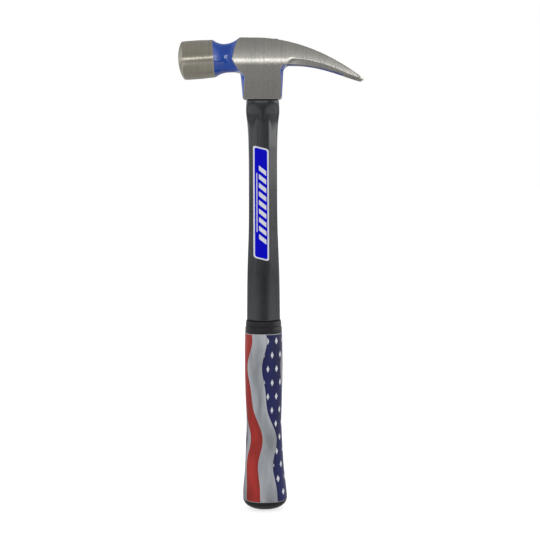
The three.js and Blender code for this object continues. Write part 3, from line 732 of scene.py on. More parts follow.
# Node trees


class Level:
    """A number that varies over a surface: arithmetic with it becomes nodes of its tree."""

    def __init__(self, tree, socket):
        self.tree, self.socket = tree, socket

    def by(self, operation, *others):
        made = wire(self.tree, "ShaderNodeMath", dict(enumerate((self, *others))), operation=operation)
        return Level(self.tree, made.outputs[0])

    def ramp(self, from_low, from_high, to_low=0.0, to_high=1.0, kind="LINEAR"):
        """The level carried from one range to another, and held at its ends."""
        values = {"Value": self, "From Min": from_low, "From Max": from_high}
        values |= {"To Min": to_low, "To Max": to_high}
        made = wire(self.tree, "ShaderNodeMapRange", values, interpolation_type=kind)
        return Level(self.tree, made.outputs["Result"])

    def __add__(self, other):
        return self.by("ADD", other)

    def __sub__(self, other):
        return self.by("SUBTRACT", other)

    def __rsub__(self, other):
        return self.by("MULTIPLY_ADD", -1.0, other)

    def __mul__(self, other):
        return self.by("MULTIPLY", other)

    def __truediv__(self, other):
        return self.by("DIVIDE", other)

    def __rtruediv__(self, other):
        return self.by("POWER", -1.0) * other

    def __pow__(self, other):
        return self.by("POWER", other)

    def __abs__(self):
        return self.by("ABSOLUTE")


def wire(tree, kind, values, **settings):
    """A new node with its inputs set or linked."""
    made = tree.nodes.new(kind)
    for name, value in settings.items():
        setattr(made, name, value)
    for key, value in values.items():
        value = value.socket if isinstance(value, Level) else value
        if isinstance(value, bpy.types.NodeSocket):
            tree.links.new(value, made.inputs[key])
        else:
            made.inputs[key].default_value = value
    return made


def split(tree, vector):
    return [Level(tree, part) for part in wire(tree, "ShaderNodeSeparateXYZ", {0: vector}).outputs]


def attribute(tree, name):
    return Level(tree, wire(tree, "ShaderNodeAttribute", {}, attribute_name=name).outputs["Fac"])


def ray_kinds(tree):
    """Levels that are one for camera, glossy and transmission rays."""
    path = wire(tree, "ShaderNodeLightPath", {}).outputs
    return [Level(tree, path[name]) for name in ("Is Camera Ray", "Is Glossy Ray", "Is Transmission Ray")]


def mixed(tree, factor, first, second, kind="MIX"):
    values = {0: factor, 6: first, 7: second}
    return wire(tree, "ShaderNodeMix", values, data_type="RGBA", blend_type=kind).outputs[2]


def noise(tree, vector, scale, detail=3.0, roughness=0.55, stretch=None, distortion=0.0):
    if stretch is not None:
        vector = wire(tree, "ShaderNodeMapping", {"Vector": vector, "Scale": stretch}).outputs[0]
    values = {"Vector": vector, "Scale": scale, "Detail": detail}
    values |= {"Roughness": roughness, "Distortion": distortion}
    return Level(tree, wire(tree, "ShaderNodeTexNoise", values).outputs["Fac"])


def bumped(tree, height, strength, distance, normal=None):
    values = {"Height": height, "Strength": strength, "Distance": distance}
    if normal is not None:
        values["Normal"] = normal
    return wire(tree, "ShaderNodeBump", values).outputs["Normal"]


def cross(tree, first, second):
    return wire(tree, "ShaderNodeVectorMath", {0: first, 1: second}, operation="CROSS_PRODUCT").outputs[0]


def empty_material(name):
    material = bpy.data.materials.new(name)
    material.use_nodes = True
    material.node_tree.nodes.clear()
    return material, material.node_tree


def new_material(name):
    """An empty surface: its tree, its object coordinates and the function that closes it."""
    material, tree = empty_material(name)
    place = wire(tree, "ShaderNodeTexCoord", {}).outputs["Object"]

    def close(values):
        shader = wire(tree, "ShaderNodeBsdfPrincipled", values)
        wire(tree, "ShaderNodeOutputMaterial", {"Surface": shader.outputs[0]})
        return material

    return tree, place, close


def colours():
    return bpy.context.scene.hammer_colours


def head_material(s):
    """Ground steel with enamel left where no wheel has touched it."""
    c = colours()
    tree, place, close = new_material("ground_steel_and_enamel")
    ragged = noise(tree, place, 900.0, 4.0).ramp(*NOISE_SPAN, -0.05, 0.05)
    ground = (attribute(tree, "bare") + ragged).ramp(-0.05, 0.05, kind="SMOOTHSTEP")
    scuff = noise(tree, place, 1.0, 5.0, 0.7, stretch=(160.0, 420.0, 420.0)).ramp(0.2, 0.8, -0.45, 0.45)
    rubbed = (attribute(tree, "wear") * 0.9 + scuff).ramp(0.38, 0.5, kind="SMOOTHSTEP")
    steel_share = ground.by("MAXIMUM", rubbed)

    fine = noise(tree, place, 1.0, 3.0, 0.6, stretch=FINE_GRIND)
    broad = noise(tree, place, 1.0, 2.0, 0.5, stretch=BROAD_GRIND)
    streak = fine * 0.6 + broad * 0.5
    steel = mixed(tree, streak.ramp(0.35, 0.75), c.steel_dark, c.steel)
    bell_rear = (s.bell_length - s.face_reach) * MM
    on_bell = split(tree, place)[0].ramp(bell_rear + 0.0017, bell_rear - 0.0003)
    steel = mixed(tree, on_bell, steel, mixed(tree, 1.0, steel, c.bell_tint, "MULTIPLY"))
    cloud = noise(tree, place, 90.0, 2.0)
    enamel = mixed(tree, cloud.ramp(*NOISE_SPAN), c.enamel_deep, c.enamel)
    speck = noise(tree, place, 2600.0, 1.0).ramp(0.68, 0.78, 0.0, 0.2)
    enamel = mixed(tree, speck, enamel, c.enamel_speck)

    steel_rough = on_bell * 0.04 + streak.ramp(0.3, 0.8, 0.285, 0.255)
    enamel_rough = cloud.ramp(*NOISE_SPAN, 0.08, 0.15)
    peel = noise(tree, place, 240.0, 1.0) * (1.0 - steel_share)
    normal = bumped(tree, steel_share, 0.25, -0.00005)
    normal = bumped(tree, peel, 0.22, 0.0006, normal)
    normal = bumped(tree, streak * steel_share, 0.02, 0.00025, normal)
    facing = wire(tree, "ShaderNodeNewGeometry", {}).outputs["Normal"]
    return close(
        {
            "Base Color": mixed(tree, steel_share, enamel, steel),
            "Metallic": steel_share,
            "Roughness": steel_share.ramp(0.0, 1.0, enamel_rough, steel_rough),
            "Normal": normal,
            "Tangent": cross(tree, cross(tree, facing, (1.0, 0.0, 0.0)), facing),
            "Anisotropic": 0.6,
        }
    )


def epoxy_material():
    c = colours()
    tree, place, close = new_material("cast_epoxy")
    swirl = noise(tree, place, 260.0, 4.0, distortion=1.2)
    base = mixed(tree, swirl.ramp(*NOISE_SPAN), c.epoxy, c.epoxy_pale)
    bubbles = wire(tree, "ShaderNodeTexVoronoi", {"Vector": place, "Scale": 900.0}).outputs["Distance"]
    pits = Level(tree, bubbles).ramp(0.05, 0.2)
    normal = bumped(tree, pits, 0.25, 0.0002, bumped(tree, swirl, 0.3, 0.0004))
    return close({"Base Color": base, "Roughness": swirl.ramp(*NOISE_SPAN, 0.3, 0.45), "Normal": normal})


def fibreglass_material():
    c = colours()
    tree, place, close = new_material("drawn_fibreglass")
    strands = noise(tree, place, 1.0, 4.0, 0.6, stretch=(1600.0, 1600.0, 14.0))
    base = mixed(tree, strands.ramp(0.35, 0.65), c.fibreglass, c.fibreglass_dark)
    normal = bumped(tree, strands, 0.3, 0.0002)
    return close({"Base Color": base, "Roughness": strands.ramp(*NOISE_SPAN, 0.4, 0.6), "Normal": normal})


def jacket_material():
    """Satin moulded plastic with faint drawn streaks and a pebbled skin."""
    c = colours()
    tree, place, close = new_material("satin_jacket_plastic")
    streak = noise(tree, place, 1.0, 3.0, 0.6, stretch=(700.0, 700.0, 9.0))
    tone = streak * 0.55 + noise(tree, place, 70.0, 3.0) * 0.45
    base = mixed(tree, tone.ramp(0.35, 0.65), c.jacket_dark, c.jacket)
    pebble = noise(tree, place, 2400.0, 2.0)
    normal = bumped(tree, pebble, 0.12, 0.0001, bumped(tree, streak, 0.1, 0.0002))
    return close({"Base Color": base, "Roughness": tone.ramp(*NOISE_SPAN, 0.15, 0.22), "Normal": normal})


def rubber_material():
    c = colours()
    tree, place, close = new_material("moulded_rubber")
    cloud = noise(tree, place, 120.0, 4.0)
    base = mixed(tree, cloud.ramp(*NOISE_SPAN), c.rubber, c.rubber_pale)
    normal = bumped(tree, noise(tree, place, 1800.0, 3.0), 0.18, 0.00012)
    rough = cloud.ramp(*NOISE_SPAN, 0.3, 0.42)
    return close({"Base Color": base, "Roughness": rough, "Normal": normal, "Specular IOR Level": 0.32})


def film_material(s):
    """Glossy sleeve printed with slow ribbons in red, silver and navy, and lozenges on the navy."""
    c = colours()
    tree, place, close = new_material("printed_sleeve")
    x, y, z = split(tree, place)
    butt, foot, top = ((height - s.hand_height) * MM for height in (0.0, s.film_bottom, s.collar_foot))
    turn = y.by("ARCTAN2", x) / (2 * math.pi)
    rise = z.ramp(butt, top)
    sway = (rise * 11.0).by("SINE") * 0.07 + (rise * 23.0 + 1.3).by("SINE") * 0.03
    phase = (turn * 2.0 + rise * 0.34 + sway + 3.73).by("FRACT")

    ramp = wire(tree, "ShaderNodeValToRGB", {0: phase})
    ramp.color_ramp.interpolation = "CONSTANT"
    low, high = NAVY_BAND
    stops = [(0.0, c.film_red), (0.24, c.film_silver), (low, c.film_navy), (high, c.film_silver)]
    while len(ramp.color_ramp.elements) < len(stops):
        ramp.color_ramp.elements.new(0.5)
    for stop, (spot, tone) in zip(ramp.color_ramp.elements, stops):
        stop.position = spot
        stop.color = tone

    fold = noise(tree, place, 1.0, 2.0, 0.5, stretch=(95.0, 95.0, 26.0), distortion=0.6)
    ripple = (phase * (4 * math.pi)).by("SINE")
    shade = (ripple * 0.1 + fold * 0.9).ramp(0.22, 0.72, 0.52, 1.22)
    shade = wire(tree, "ShaderNodeCombineColor", dict.fromkeys(range(3), shade)).outputs[0]
    ink = mixed(tree, 1.0, ramp.outputs["Color"], shade, "MULTIPLY")

    row = rise * 13.0
    column = turn * 12.0 + row.by("FLOOR") * 0.5 + 20.0
    across, along = (abs(count.by("FRACT") - 0.5) for count in (column, row))
    lozenge = (across * 1.5 + along).ramp(0.27, 0.24)
    on_navy = phase.by("GREATER_THAN", low + 0.01) * phase.by("LESS_THAN", high - 0.02)
    ink = mixed(tree, lozenge * on_navy, ink, c.film_light)
    dots = noise(tree, place, 5200.0, 1.0)
    ink = mixed(tree, dots.ramp(0.45, 0.75, 0.0, 0.05), ink, c.film_dots)
    # Near each end the print gives way to a thin light band, a painted highlight on the film's cut edge
    inside = z.ramp(foot + 0.0004, foot + 0.0009).by("MINIMUM", z.ramp(top - 0.0004, top - 0.0009))
    return close(
        {
            "Base Color": mixed(tree, inside, c.film_edge, ink),
            "Roughness": dots.ramp(*NOISE_SPAN, 0.3, 0.4),
            "Normal": bumped(tree, fold, 0.25, 0.0006, bumped(tree, dots, 0.05, 0.0001)),
            "Specular IOR Level": 0.22,
            "Coat Weight": 0.1,
            "Coat Roughness": 0.15,
        }
    )


def label_material(s):
    """Blue sticker with a white border and a ladder of slanted white bars."""
    c = colours()
    tree, place, close = new_material("label_print")
    u, v, _ = split(tree, wire(tree, "ShaderNodeUVMap", {}, uv_map="label").outputs["UV"])
    across, along = (u - 0.5) * s.label_width, (v - 0.5) * s.label_length
    corner = 1.6
    inset = s.label_border + corner
    past_side = (abs(across) - (s.label_width / 2 - inset)).by("MAXIMUM", 0.0)
    past_end = (abs(along) - (s.label_length / 2 - inset)).by("MAXIMUM", 0.0)
    field = (past_side**2.0 + past_end**2.0).by("SQRT").ramp(corner + 0.06, corner - 0.06)

    slanted = along - across * 0.55
    pitch = ((slanted + 30.0) / 7.0).by("FRACT")
    bars = pitch.ramp(0.02, 0.05) * pitch.ramp(0.60, 0.57) * abs(slanted).ramp(30.7, 30.5)
    bars = bars * across.ramp(-1.75, -1.6) * across.ramp(4.35, 4.2)
    line = across.ramp(-3.75, -3.65) * across.ramp(-2.95, -3.05) * abs(along).ramp(24.1, 23.9)

    cloud = noise(tree, place, 220.0, 3.0)
    blue = mixed(tree, cloud.ramp(*NOISE_SPAN), c.label_blue_deep, c.label_blue)
    ink = mixed(tree, bars.by("MAXIMUM", line), blue, c.label_white)
    return close(
        {
            "Base Color": mixed(tree, field, c.label_white, ink),
            "Roughness": cloud.ramp(*NOISE_SPAN, 0.3, 0.4),
            "Normal": bumped(tree, cloud, 0.1, 0.0003),
            "Specular IOR Level": 0.06,
        }
    )


def floor_material():
    """White floor that keeps shadows and shows as white to the camera; mirror finishes see a painted glow
    instead, graded by distance and brighter to the sides and near the claw.
    """
    material, tree = empty_material("white_floor")
    camera, glossy, transmission = ray_kinds(tree)
    matt = wire(tree, "ShaderNodeBsdfDiffuse", {"Color": (0.62, 0.62, 0.62, 1)})
    glow = wire(tree, "ShaderNodeEmission", {"Strength": camera * 0.7})
    seen = wire(tree, "ShaderNodeAddShader", {0: matt.outputs[0], 1: glow.outputs[0]})
    spot = wire(tree, "ShaderNodeTexCoord", {}).outputs["Object"]
    away = Level(tree, wire(tree, "ShaderNodeVectorMath", {0: spot}, operation="LENGTH").outputs["Value"])
    x, y, _ = split(tree, spot)
    # Painted glow for mirror finishes: brighter to the left and right of the hammer and beside the claw
    bearing = x / abs(y).by("MAXIMUM", 0.2)
    left = bearing.ramp(-0.08, -0.2, 0.0, 0.9, "SMOOTHSTEP")
    right = bearing.ramp(0.13, 0.26, 0.0, 1.05, "SMOOTHSTEP")
    sides = (left + right) * away.ramp(0.55, 0.95) * away.ramp(2.6, 1.6)
    painted_claw_glow = x.ramp(0.015, 0.06, 0.0, 0.24) * away.ramp(0.9, 0.5)
    level = away.ramp(0.5, 1.5, 0.47, 0.13) + sides + painted_claw_glow
    painted_mirror_glow = wire(tree, "ShaderNodeEmission", {"Strength": level})
    mirror = glossy.by("MAXIMUM", transmission)
    both = wire(tree, "ShaderNodeMixShader", {0: mirror, 1: seen.outputs[0], 2: painted_mirror_glow.outputs[0]})
    wire(tree, "ShaderNodeOutputMaterial", {"Surface": both.outputs[0]})
    return material


def white_studio(ambient):
    """A world that is white to the camera, even to matt surfaces and graded in mirror finishes."""
    world = bpy.data.worlds.new("white_studio")
    world.use_nodes = True
    tree = world.node_tree
    tree.nodes.clear()
    camera, glossy, transmission = ray_kinds(tree)
    side, _, rise = split(tree, wire(tree, "ShaderNodeTexCoord", {}).outputs["Generated"])
    overhead = rise.ramp(0.1, 1.0, 0.38, 0.5, "SMOOTHSTEP") * rise.ramp(-0.05, 0.15, 0.68, 1.0)
    right = side.ramp(0.5, 0.95, 0.0, 1.6, "SMOOTHSTEP")
    left = side.ramp(-0.5, -0.95, 0.0, 0.7, "SMOOTHSTEP")
    skirting = side.ramp(-0.03, -0.11, 0.0, 0.55, "SMOOTHSTEP") * rise.ramp(0.12, 0.0)
    level = glossy.ramp(0.0, 1.0, ambient, overhead + skirting + left + right)
    level = level.by("MAXIMUM", camera.by("MAXIMUM", transmission))
    sky = wire(tree, "ShaderNodeBackground", {"Color": (1, 1, 1, 1), "Strength": level})
    wire(tree, "ShaderNodeOutputWorld", {"Surface": sky.outputs[0]})
    return world


# Pieces


class HAMMER_OT_head(bpy.types.Operator):
    """Forged head with rounded edges, ground facets and enamel"""

    bl_idname = "hammer.head"
    bl_label = "Head"
    # Pull of each easing towards a point's neighbours, and the share of triangles kept by the thinning
    EASING = 0.5
    KEPT_SHARE = 0.56

    def settled(self, piece, form, rounds):
        points = mesh_points(piece.data) / MM
        points[:, 2] += form.s.hand_height
        return form.settle(points, rounds)

    def store(self, piece, points, sizes):
        piece.data.vertices.foreach_set("co", to_part_frame(points, sizes.hand_height).ravel())
        piece.data.update()

    def execute(self, context):
        s = head_sizes()
        form = HeadForm(s)
        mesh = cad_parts["head"].data.copy()
        piece = bpy.data.objects.new("head_forging", mesh)
        context.scene.collection.objects.link(piece)
        weld = piece.modifiers.new("weld", "WELD")
        weld.merge_threshold = 0.005 * MM
        remesh = piece.modifiers.new("remesh", "REMESH")
        remesh.mode = "VOXEL"
        remesh.voxel_size = s.mesh_step * MM
        make_real(piece)
        points = self.settled(piece, form, 4)
        edges = mesh_edges(piece.data)
        for _ in range(4):
            points = form.settle(relaxed(points, edges, self.EASING), 2)
        self.store(piece, points, s)
        spare = piece.vertex_groups.new(name="spare")
        spare.add(np.flatnonzero(form.plain_places(points, edges)).tolist(), 1.0, "REPLACE")
        thin = piece.modifiers.new("thin", "DECIMATE")
        thin.ratio = self.KEPT_SHARE
        thin.vertex_group = spare.name
        make_real(piece)
        piece.vertex_groups.clear()
        points = self.settled(piece, form, 2)
        self.store(piece, points, s)
        made = piece.data
        for name, values in (("bare", form.bareness(points)), ("wear", form.wear(points))):
            made.attributes.new(name, "FLOAT", "POINT").data.foreach_set("value", values)
        made.shade_smooth()
        made.normals_split_custom_set_from_vertices(form.facing(points).tolist())
        finish_piece(piece, "head", head_material(s))
        return {"FINISHED"}


class HAMMER_OT_eye_filling(bpy.types.Operator):
    """Epoxy that fills the eye, drawn up at its edge"""

    bl_idname = "hammer.eye_filling"
    bl_label = "Eye filling"
    # Depth of the filling's edge below the head's top, its dip in the middle and its gap to the wall
    SINK = 0.8
    DIP = 0.55
    WALL_GAP = 0.02

    def execute(self, context):
        s = head_sizes()
        form = HeadForm(s)
        surface = s.top - self.SINK
        rings = []
        for height in np.linspace(s.skirt_rim + FIT_GAP, surface, 30):
            right, up = (half - self.WALL_GAP for half in form.eye_half(height))
            rings.append(ring_at(*superellipse(right, up, EYE_SQUARENESS, EYE_COLUMNS), height))
        right, up = form.eye_half(surface)
        for share in np.linspace(1.0, 0.04, 26)[1:]:
            dip = self.DIP * (1 - share**5)
            section = superellipse(right * share, up * share, blend(2.2, EYE_SQUARENESS, share), EYE_COLUMNS)
            rings.append(ring_at(*section, surface - dip))
        points, faces = capped_rings(rings)
        piece = make_piece("eye_filling", points, faces, s.hand_height)
        finish_piece(piece, "eye_epoxy", epoxy_material())
        return {"FINISHED"}


class HAMMER_OT_core(bpy.types.Operator):
    """Finish of the fibreglass core"""

    bl_idname = "hammer.core"
    bl_label = "Core"

    def execute(self, context):
        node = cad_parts["fibreglass_core"]
        node.data.materials.clear()
        node.data.materials.append(fibreglass_material())
        return {"FINISHED"}


def jacket_outline(s):
    """Half depth of the jacket by height."""
    run = s.jacket_top - s.grip_length
    return smooth_line(
        [
            (s.grip_length, s.seat_half),
            (s.grip_length + 0.2 * run, 0.75 * s.seat_half + 0.25 * s.waist_half),
            (s.grip_length + 0.42 * run, 0.12 * s.seat_half + 0.88 * s.waist_half),
            (s.grip_length + 0.6 * run, s.waist_half),
            (s.shoulder - SHOULDER_RUN, s.waist_half + 0.15),
            (s.shoulder - 9, 0.5 * s.waist_half + 0.5 * s.shoulder_half),
            (s.shoulder, s.shoulder_half),
            (s.jacket_top, s.shoulder_half - 0.3),
        ]
    )


def shaft_half(s, outline, height):
    """Half depth of the jacket without its shoulder."""
    half, start = outline(height), s.shoulder - SHOULDER_RUN
    return np.where(height > start, np.minimum(half, outline(start)), half)


def jacket_measure(s, outline, across, depth, height):
    """One on the jacket's section, for shares of its half depth and half width."""
    power, crease = s.jacket_squareness, s.jacket_crease
    body = (across**power + depth**power) ** (1 / power)
    corner = (across + depth) / s.jacket_facet
    shaft = (body**crease + corner**crease) ** (1 / crease) * outline(height) / shaft_half(s, outline, height)
    rise = smoothstep(height, s.jacket_top - SHOULDER_RISE, s.jacket_top)
    deep, power = depth / blend(*SHOULDER_DEPTH, rise), blend(*SHOULDER_SQUARENESS, rise)
    shoulder = (across**power + deep**power) ** (1 / power)
    return (shaft**-SHOULDER_CREASE + shoulder**-SHOULDER_CREASE) ** (-1 / SHOULDER_CREASE)


def octagon_tree():
    """Geometry nodes that sweep a faceted shaft, joined to a rounded shoulder, up a profile.

    Each point of the profile holds the half depth in X, the shaft's half depth in Y and the height in Z.
    """
    tree = bpy.data.node_groups.new("faceted_sleeve", "GeometryNodeTree")
    face = tree.interface
    face.new_socket("Geometry", in_out="OUTPUT", socket_type="NodeSocketGeometry")
    face.new_socket("Profile", in_out="INPUT", socket_type="NodeSocketGeometry")
    for name in ("Slenderness", "Squareness", "Facet", "Crease", "Shoulder from", "Shoulder to"):
        face.new_socket(name, in_out="INPUT", socket_type="NodeSocketFloat")
    face.new_socket("Finish", in_out="INPUT", socket_type="NodeSocketMaterial")
    given = tree.nodes.new("NodeGroupInput").outputs
    sized = {socket.name: Level(tree, socket) for socket in given if socket.type == "VALUE"}
    counted = wire(tree, "GeometryNodeAttributeDomainSize", {"Geometry": given["Profile"]})
    rows = Level(tree, counted.outputs["Point Count"])
    grid = wire(tree, "GeometryNodeMeshGrid", {"Vertices X": JACKET_COLUMNS + 1, "Vertices Y": rows})
    u, v, _ = split(tree, grid.outputs["UV Map"])
    values = {"Geometry": given["Profile"], "Index": (v * (rows - 1.0)).by("ROUND")}
    station = wire(tree, "GeometryNodeSampleIndex", values, data_type="FLOAT_VECTOR")
    tree.links.new(wire(tree, "GeometryNodeInputPosition", {}).outputs[0], station.inputs["Value"])
    half, shaft, height = split(tree, station.outputs[0])
    turn = u * (2 * math.pi)
    cos, sin = turn.by("COSINE"), turn.by("SINE")

    def norm(first, second, power):
        return (first**power + second**power) ** (1.0 / power)

    across, depth = abs(cos), abs(sin)
    body = norm(across, depth, sized["Squareness"])
    corner = (across + depth) / sized["Facet"]
    faceted = shaft / norm(body, corner, sized["Crease"])
    rise = height.ramp(sized["Shoulder from"], sized["Shoulder to"], kind="SMOOTHSTEP")
    deep = depth / rise.ramp(0.0, 1.0, *SHOULDER_DEPTH)
    rounded = half / norm(across, deep, rise.ramp(0.0, 1.0, *SHOULDER_SQUARENESS))
    reach = half * norm(faceted / half, rounded / half, SHOULDER_CREASE)
    values = {0: cos * reach, 1: sin * reach * sized["Slenderness"], 2: height}
    place = wire(tree, "ShaderNodeCombineXYZ", values).outputs[0]
    swept = wire(tree, "GeometryNodeSetPosition", {"Geometry": grid.outputs["Mesh"], "Position": place})
    closed = wire(tree, "GeometryNodeMergeByDistance", {"Geometry": swept.outputs[0], "Distance": 1e-6})
    smooth = wire(tree, "GeometryNodeSetShadeSmooth", {"Geometry": closed.outputs[0]})
    real = wire(tree, "GeometryNodeRealizeInstances", {"Geometry": smooth.outputs[0]})
    coated = wire(tree, "GeometryNodeSetMaterial", {"Geometry": real.outputs[0], "Material": given["Finish"]})
    wire(tree, "NodeGroupOutput", {0: coated.outputs[0]})
    return tree


class HAMMER_OT_jacket(bpy.types.Operator):
    """Moulded jacket with eight soft facets that fade into the shoulder"""

    bl_idname = "hammer.jacket"
    bl_label = "Handle jacket"
    # Rounding of top and foot, steps round the foot as inset and rise, and the height between rows
    TOP_EDGE = 1.2
    FOOT_EDGE = 0.35
    FOOT_STEPS = ((FOOT_EDGE, 0.0), (0.1, 0.08))
    ROW_STEP = 0.9

    def execute(self, context):
        s = handle_sizes()
        outline = jacket_outline(s)
        tail = s.seat_half - s.seat_step
        rim = self.TOP_EDGE
        seat = s.grip_length + FIT_GAP
        rows = [(1e-4, s.butt_wall + FIT_GAP), (tail, s.butt_wall + FIT_GAP), (tail, seat)]
        rows += [(outline(seat) - inset, seat + rise) for inset, rise in self.FOOT_STEPS]
        heights = np.arange(seat + self.FOOT_EDGE, s.jacket_top - rim, self.ROW_STEP)
        rows += [(float(outline(height)), height) for height in heights]
        for turn in np.linspace(0.0, math.pi / 2, 7):
            inset = 0.05 * s.shoulder_half * (1 - math.cos(turn))
            rows.append((float(outline(s.jacket_top)) - inset, s.jacket_top - rim + rim * math.sin(turn)))
        rows += [(0.5 * s.shoulder_half, s.jacket_top), (1e-4, s.jacket_top)]
        profile = np.array([(half, half, height) for half, height in rows])
        high = profile[:, 2] > s.shoulder - SHOULDER_RUN
        profile[high, 1] = np.minimum(profile[high, 0], outline(s.shoulder - SHOULDER_RUN))
        mesh = bpy.data.meshes.new("handle_jacket_shell")
        line = [(step, step + 1) for step in range(len(rows) - 1)]
        mesh.from_pydata(to_part_frame(profile, s.hand_height).tolist(), line, [])
        piece = bpy.data.objects.new("handle_jacket_shell", mesh)
        context.scene.collection.objects.link(piece)
        tree = octagon_tree()
        finish = jacket_material()
        values = {
            "Slenderness": s.jacket_slender,
            "Squareness": s.jacket_squareness,
            "Facet": s.jacket_facet,
            "Crease": s.jacket_crease,
            "Shoulder from": (s.jacket_top - SHOULDER_RISE - s.hand_height) * MM,
            "Shoulder to": (s.jacket_top - s.hand_height) * MM,
            "Finish": finish,
        }
        sweep = piece.modifiers.new("faceted_sleeve", "NODES")
        sweep.node_group = tree
        for socket in tree.interface.items_tree:
            if socket.in_out == "INPUT" and socket.name in values:
                sweep[socket.identifier] = values[socket.name]
        make_real(piece)
        finish_piece(piece, "handle_jacket", finish)
        return {"FINISHED"}


def grip_outline(s):
    """Half depth of the grip by height."""
    return smooth_line(
        [
            (s.butt_dome, s.butt_half),
            (s.butt_dome + 0.04 * s.grip_length, 0.985 * s.butt_half),
            (0.155 * s.grip_length, 0.94 * s.butt_half),
            (0.225 * s.grip_length, 0.45 * s.butt_half + 0.55 * s.grip_waist_half),
            (0.37 * s.grip_length, 0.15 * s.butt_half + 0.85 * s.grip_waist_half),
            (0.465 * s.grip_length, s.grip_waist_half),
            (0.63 * s.grip_length, 0.3 * s.grip_waist_half + 0.7 * s.belly_half),
            (0.765 * s.grip_length, s.belly_half),
            (s.collar_foot, s.seat_half + 2.4 * s.collar_lip),
            (s.grip_length, s.seat_half + s.collar_lip),
        ]
    )


def grip_ring(s, outline, height, inset):
    lift = min(1.0, max(0.0, height / s.butt_dome))
    half = float(outline(max(height, s.butt_dome))) * math.sqrt(1 - (1 - lift) ** 2)
    shift = s.butt_offset * (1 - float(smoothstep(height, 0.0, 0.4 * s.grip_length)))
    across, along = superellipse(half - inset, half * s.grip_slender - inset, GRIP_SQUARENESS, GRIP_COLUMNS)
    return ring_at(across + shift, along, height)


class HAMMER_OT_grip(bpy.types.Operator):
    """Rubber grip with a beaded collar, a seat for the sleeve and a domed butt"""

    bl_idname = "hammer.grip"
    bl_label = "Grip"
    # Rounding beside the sleeve's seat as distance and inset, rounding of the collar's top, width of the
    # groove round the collar and depth of the hollows beside it
    SEAT_EDGE = ((0.0, 0.3), (0.05, 0.12), (0.2, 0.03))
    TOP_EDGE = 1.2
    GROOVE_WIDTH = 0.55
    HOLLOW = 0.06

    def execute(self, context):
        s = handle_sizes()
        outline = grip_outline(s)
        dome = s.butt_dome * (1 - np.cos(np.linspace(0.12, 1.38, 26)))
        rings = [grip_ring(s, outline, height, 0.0) for height in dome if height < s.film_bottom - 0.5]
        for drop, inset in ((0.45, 0.0), *reversed(self.SEAT_EDGE)):
            rings.append(grip_ring(s, outline, s.film_bottom - drop, inset))
        for height in np.linspace(s.film_bottom, s.collar_foot, 60):
            rings.append(grip_ring(s, outline, height, s.film_seat))
        groove = s.collar_foot + 0.52 * s.collar_height
        for rise, inset in self.SEAT_EDGE:
            rings.append(grip_ring(s, outline, s.collar_foot + rise, inset))
        for height in np.linspace(s.collar_foot + 0.45, s.grip_length - 1.4, 40):
            cut = s.collar_groove * math.exp(-(((height - groove) / self.GROOVE_WIDTH) ** 2))
            wave = math.cos((height - groove) / s.collar_height * 4 * math.pi)
            rings.append(grip_ring(s, outline, height, cut + self.HOLLOW * max(0.0, wave)))
        for turn in np.linspace(0.0, math.pi / 2, 7):
            height = s.grip_length - self.TOP_EDGE * (1 - math.sin(turn))
            rings.append(grip_ring(s, outline, height, s.collar_lip * (1 - math.cos(turn))))
        turn = np.linspace(0.0, 2 * math.pi, GRIP_COLUMNS, endpoint=False)
        cos, sin = np.cos(turn), np.sin(turn)
        reach = jacket_measure(s, jacket_outline(s), np.abs(cos), np.abs(sin), s.grip_length)
        tail = s.seat_half - s.seat_step
        room, side = tail + FIT_GAP, tail * s.jacket_slender + FIT_GAP
        for height in (s.grip_length, s.butt_wall):
            rings.append(ring_at(cos / reach * room, sin / reach * side, height))
        points, faces = capped_rings(rings)
        piece = make_piece("rubber_grip", points, faces, s.hand_height)
        finish_piece(piece, "grip", rubber_material())
        return {"FINISHED"}


class HAMMER_OT_film(bpy.types.Operator):
    """Printed sleeve shrunk on to the grip"""

    bl_idname = "hammer.film"
    bl_label = "Printed sleeve"
    # Gap to the seat's ends, slack of the hidden inner wall, ripple of the film, its growth near the ends
    # and the reach of that, and the turned-in lip with its reach
    END_GAP = 0.12
    SLACK = 0.2
    RIPPLE = 0.05
    RUCK, RUCK_REACH = 0.14, 7.0
    LIP, LIP_REACH = 0.16, 0.25

    def execute(self, context):
        s = handle_sizes()
        outline = grip_outline(s)
        low, high = s.film_bottom + self.END_GAP, s.collar_foot - self.END_GAP
        turn = np.linspace(0.0, 2 * math.pi, GRIP_COLUMNS, endpoint=False)
        outer, inner = [], []
        for height in np.linspace(low, high, FILM_ROWS):
            from_end = min(height - low, high - height)
            swell = self.RIPPLE + self.RUCK * math.exp(-from_end / self.RUCK_REACH)
            wave = np.sin(5 * turn + 0.11 * height) * np.sin(0.21 * height + 2 * turn) * swell
            lip = self.LIP * math.exp(-from_end / self.LIP_REACH)
            outer.append(grip_ring(s, outline, height, lip - wave))
            inner.append(grip_ring(s, outline, height, s.film_thickness + self.SLACK))
        points = np.vstack([*outer, *inner])
        base = FILM_ROWS * GRIP_COLUMNS
        faces = ring_faces(FILM_ROWS, GRIP_COLUMNS)
        faces += [face[::-1] for face in ring_faces(FILM_ROWS, GRIP_COLUMNS, base)]
        last = base - GRIP_COLUMNS
        for step in range(GRIP_COLUMNS):
            after = (step + 1) % GRIP_COLUMNS
            faces.append([base + step, base + after, after, step])
            faces.append([last + step, last + after, base + last + after, base + last + step])
        piece = make_piece("printed_film_sleeve", points, faces, s.hand_height)
        finish_piece(piece, "grip_film", film_material(s))
        return {"FINISHED"}


def jacket_side(s, outline, across, height):
    """Distance from the handle's axis to the jacket's side."""
    half = outline(height)
    low, high = np.zeros_like(across), np.full_like(across, 1.2)
    for _ in range(40):
        middle = (low + high) / 2
        inside = jacket_measure(s, outline, np.abs(across) / half, middle, height) < 1
        low, high = np.where(inside, middle, low), np.where(inside, high, middle)
    return low * half * s.jacket_slender


